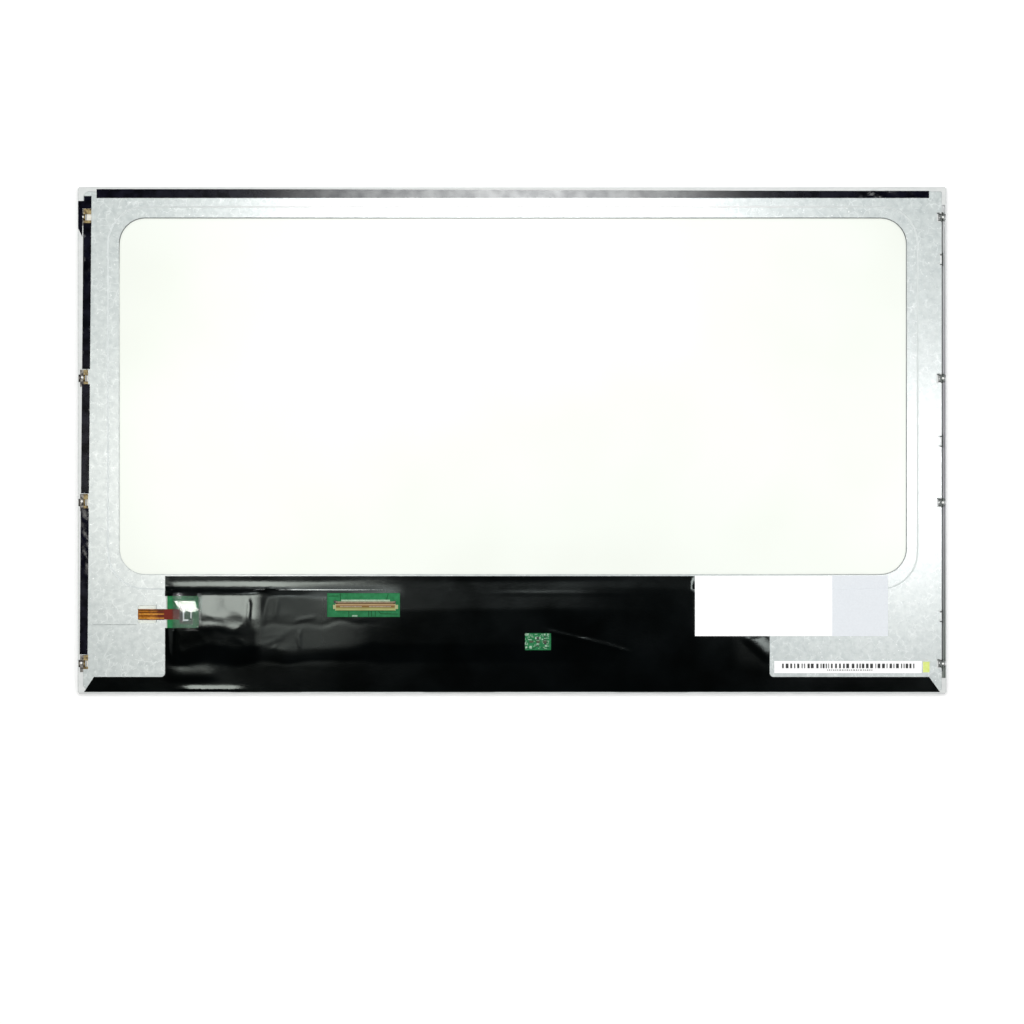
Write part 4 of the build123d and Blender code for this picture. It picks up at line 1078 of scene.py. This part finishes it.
def window_edge_shade():
    """A thin ring inside the plate's window that carries the painted light and shade of its edge."""
    outer = round_frame(WINDOW, WINDOW_CORNER)
    x_from, x_to, y_from, y_to = WINDOW
    inset = (x_from + WINDOW_LIP, x_to - WINDOW_LIP, y_from + WINDOW_LIP, y_to - WINDOW_LIP)
    inner = round_frame(inset, WINDOW_CORNER - WINDOW_LIP)
    points, faces = ring(outer, inner, SHEET_LEVEL, SHEET_LEVEL + LIP_HEIGHT)
    new_piece("window_painted_edge_shade", points, faces, painted_edge_shade())


def plate_step_shade():
    """Painted shade along the plate's steps beside the backlight tail and across the ends of its cut-out."""
    shade = mottled("painted_step_shade", (140, 146, 145), (164, 170, 169), 1.5, 0.6)
    top = BACK_LEVEL + LINE_HEIGHT
    lines = [(*CHANNEL_SPAN, y - LINE_WIDTH / 2, y + LINE_WIDTH / 2) for y in CHANNEL_LINES]
    lines += [(x - LINE_WIDTH / 2, x + LINE_WIDTH / 2, *span) for x in BRIDGE_LINES for span in BRIDGE_SPANS]
    prisms("plate_painted_step_shade", slabs(lines, BACK_LEVEL, top), shade)


def edge_fittings():
    """Painted shadow in the gaps at the plate's hooks and along the rail, painted highlights on the hooks'
    faces, and the side nuts' faces with painted shade and painted shadow in their notches' corners.
    """
    # Painted shadow: dark strips in the gaps at the hooks and along the rail, and in the slits at the hooks'
    # feet
    dark = mottled("gap_shadow", (34, 38, 38), (66, 70, 70), 0.9, 0.6)
    top = BACK_LEVEL + LINE_HEIGHT
    parts = []
    for row in HOOK_ROWS:
        parts.append((rectangle(*HOOK_GAP_SHADOW, row - HOOK_HALF, row + HOOK_HALF), RAIL_FLOOR, top))
        for low, high in HOOK_FEET:
            parts.append((rectangle(HOOK_FOOT_LEFT, HOOK_GAP_SHADOW[0], row + low, row + high), BACK_LEVEL, top))
    stretches = zip((RAIL_ENDS[0], *reversed(HOOK_ROWS)), (*reversed(HOOK_ROWS), RAIL_ENDS[1]))
    for low, high in stretches:
        parts.append((rectangle(*RAIL_GAP_SHADOW, low + HOOK_HALF, high - HOOK_HALF), RAIL_FLOOR, top))
    prisms("hook_gap_shadows", parts, dark)
    # Painted highlight on the hooks' faces
    bright = mottled("painted_hook_highlight", (216, 220, 219), (238, 240, 239), 1.0, 0.5)
    low, high = HOOK_FEET[0][1], HOOK_FEET[1][0]
    places = [(*HOOK_HIGHLIGHT, row + low, row + high) for row in HOOK_ROWS]
    prisms("painted_hook_highlights", slabs(places, BACK_LEVEL, top), bright)
    # Painted shade on the nuts' faces, and painted shadow in the corners of their notches
    nut_painted_shade = mottled("painted_nut_shade", (46, 52, 50), (110, 116, 113), 0.8, 0.4, 0.3)
    parts = []
    for row in SCREW_ROWS:
        star = [(NUT_X + x, row + y) for x, y in NUT_STAR]
        parts.append((star, BARREL_TOP, NUT_LEVEL + LINE_HEIGHT))
        corner = rectangle(NUT_CORNER_SHADOW[0], NUT_CORNER_SHADOW[1], row + NUT_CORNER_SHADOW[2], row + NUT_CORNER_SHADOW[3])
        parts.append((corner, BACK_LEVEL, top))
    prisms("painted_nut_shades", parts, nut_painted_shade)


def clip_trims(materials):
    """Edges of the plate that overlap the lower three clips, and the lower side of the lowest."""
    x_from, x_to, low, high = CLIP_TRIM_RIGHT
    trims = [(x_from, x_to, row + low, row + high) for row in SCREW_ROWS[1:]]
    x_from, low, high = CLIP_TRIM_LOWER
    trims.append((x_from, CLIP_TRIM_RIGHT[0], SCREW_ROWS[-1] + low, SCREW_ROWS[-1] + high))
    parts = slabs(trims, BACK_LEVEL, BACK_LEVEL + LINE_HEIGHT)
    prisms("clip_window_trims", parts, materials["galvanised_sheet"])


def domes(name, places, radius, low, material):
    """Small round caps, one at every place."""
    points, faces = [], []
    for x, y in places:
        first = len(points)
        for level in range(DOME_LEVELS):
            lift = level / DOME_LEVELS * math.pi / 2
            reach = radius * math.cos(lift)
            height = low + radius * DOME_RISE * math.sin(lift)
            for i in range(DOME_SIDES):
                angle = 2 * math.pi * i / DOME_SIDES
                points.append((x + reach * math.cos(angle), y + reach * math.sin(angle), height))
        points.append((x, y, low + radius * DOME_RISE))
        tip = len(points) - 1
        for i in range(DOME_SIDES):
            j = (i + 1) % DOME_SIDES
            for base in range(first, tip - DOME_SIDES, DOME_SIDES):
                faces.append((base + i, base + j, base + j + DOME_SIDES, base + i + DOME_SIDES))
            faces.append((tip - DOME_SIDES + i, tip - DOME_SIDES + j, tip))
        faces.append(tuple(first + i for i in reversed(range(DOME_SIDES))))
    return new_piece(name, points, faces, material, len(faces))


def glints():
    """Painted glints: small bright domes on the side inserts and nuts."""
    bright = mottled("painted_glint", (226, 226, 222), (252, 252, 250), 0.5, 0.3)
    domes("left_insert_glints", LEFT_GLINTS, GLINT_RADIUS, LEFT_HEAD_LEVEL, bright)
    heads = [(NUT_X + GLINT_ASIDE, row) for row in SCREW_ROWS]
    domes("right_nut_glints", heads, GLINT_RADIUS, NUT_LEVEL + LINE_HEIGHT, bright)


def board_details(materials):
    """Copper runs, tinned pads and small components in the film's windows."""
    copper = mottled("board_run", (8, 66, 34), (14, 80, 42), 0.8, 0.4, sockets=DULL)
    parts = []
    for points in BOARD_RUNS:
        for start, end in zip(points, points[1:]):
            strip = run(np.array(start), np.array(end), RUN_WIDTH)
            parts.append((strip, BOARD_LEVEL, BOARD_LEVEL + INK_THICKNESS))
    prisms("board_runs", parts, copper)
    tin = mottled("board_tin", (104, 150, 120), (172, 202, 178), 0.5, 0.4)
    prisms("board_pads", slabs(BOARD_PADS, BOARD_LEVEL, BOARD_LEVEL + PAD_HEIGHT), tin)
    test_marks()
    chips = slabs(BOARD_CHIPS, BOARD_LEVEL, BOARD_LEVEL + CHIP_HEIGHT)
    prisms("board_small_parts", chips, materials["chip_black"])


def test_marks():
    """Pale strokes of chance places and lengths in the test window."""
    chance = random.Random(5)
    pale = mottled("board_mark", (104, 150, 120), (150, 184, 158), 0.5, 0.5, sockets=DULL)
    parts = []
    for number in range(TEST_MARKS):
        x, y = chance.uniform(*TEST_AREA[:2]), chance.uniform(*TEST_AREA[2:])
        length = chance.uniform(*TEST_MARK_SIZES)
        across, up = (length, TEST_MARK_WIDTH) if number % 2 else (TEST_MARK_WIDTH, length)
        mark = rectangle(x - across / 2, x + across / 2, y - up / 2, y + up / 2)
        parts.append((mark, BOARD_LEVEL, BOARD_LEVEL + INK_THICKNESS * (1 + number / TEST_MARKS)))
    prisms("board_marks", parts, pale)


def make_stage():
    """White floor that keeps a soft shadow."""
    material, tree, principled = shader("floor_white", 0.9)
    grain = patches(tree, 30.0, 2.0, 0.3)
    feed(principled, "Base Color", blend(tree, grain, tone(248, 248, 248), tone(250, 250, 250)))
    principled.inputs["Specular IOR Level"].default_value = 0.0
    principled.inputs["Emission Color"].default_value = (1, 1, 1, 1)
    path = add(tree, "LightPath")
    feed(principled, "Emission Strength", times(tree, path.outputs["Is Camera Ray"], FLOOR_LIFT))
    half = FLOOR_SIZE / 2 * MM
    mesh = bpy.data.meshes.new("floor")
    low = -FLOOR_DROP * MM
    corners = [(x, y, low) for x, y in rectangle(-half, half, -half, half)]
    mesh.from_pydata(corners, [], [(0, 1, 2, 3)])
    mesh.materials.append(material)
    floor = bpy.data.objects.new("floor", mesh)
    scene.collection.objects.link(floor)


def make_lights():
    """Three soft lamps, and a pale surrounding that is dark straight above."""
    for i, (x, y) in enumerate(LAMPS):
        lamp = bpy.data.lights.new(f"lamp_{i}", "AREA")
        lamp.shape = "ELLIPSE"
        lamp.size, lamp.size_y = (size * MM for size in LAMP_SIZES[i])
        lamp.energy = LAMP_GLOW * math.pi / 4 * lamp.size * lamp.size_y
        lamp.color = LAMP_TINTS[i]
        holder = bpy.data.objects.new(f"lamp_{i}", lamp)
        holder.location = Vector((x, y, LAMP_HEIGHT)) * MM
        holder.visible_camera = False
        scene.collection.objects.link(holder)
    world = bpy.data.worlds.new("studio")
    scene.world = world
    world.use_nodes = True
    tree = world.node_tree
    up = add(tree, "SeparateXYZ", {"Vector": add(tree, "TexCoord").outputs["Generated"]}).outputs["Z"]
    glow = spread(tree, up, *ZENITH_CONE, SKY_LEVEL, ZENITH_LEVEL)
    seen = add(tree, "LightPath").outputs["Is Camera Ray"]
    strength = calc(tree, "MAXIMUM", glow, seen)
    background = tree.nodes["Background"]
    background.inputs["Color"].default_value = (1, 1, 1, 1)
    tree.links.new(strength, background.inputs["Strength"])


def make_camera():
    """Looks straight down at the panel's back, at the picture's scale."""
    camera = bpy.data.cameras.new("camera")
    camera.lens = LENS
    camera.sensor_width = SENSOR
    holder = bpy.data.objects.new("camera", camera)
    middle = PICTURE / 2
    distance = PICTURE * PIXEL * LENS / SENSOR
    across = (middle - PANEL_MIDDLE[0]) * PIXEL
    up = (PANEL_MIDDLE[1] - middle) * PIXEL
    holder.location = Vector((across, up, BACK_LEVEL + distance)) * MM
    scene.collection.objects.link(holder)
    scene.camera = holder


scene.view_settings.view_transform = "Standard"
make_camera()
make_lights()
make_stage()
materials = make_materials()
dress(materials)
clear_film_piece(materials)
cover_film_piece(materials)
for number, tape in enumerate(TAPES):
    tape_piece(tape, materials, number + 2)
bar_label_print(materials)
connector_marks()
tail_lines()
window_edge_shade()
plate_step_shade()
edge_fittings()
clip_trims(materials)
glints()
board_details(materials)
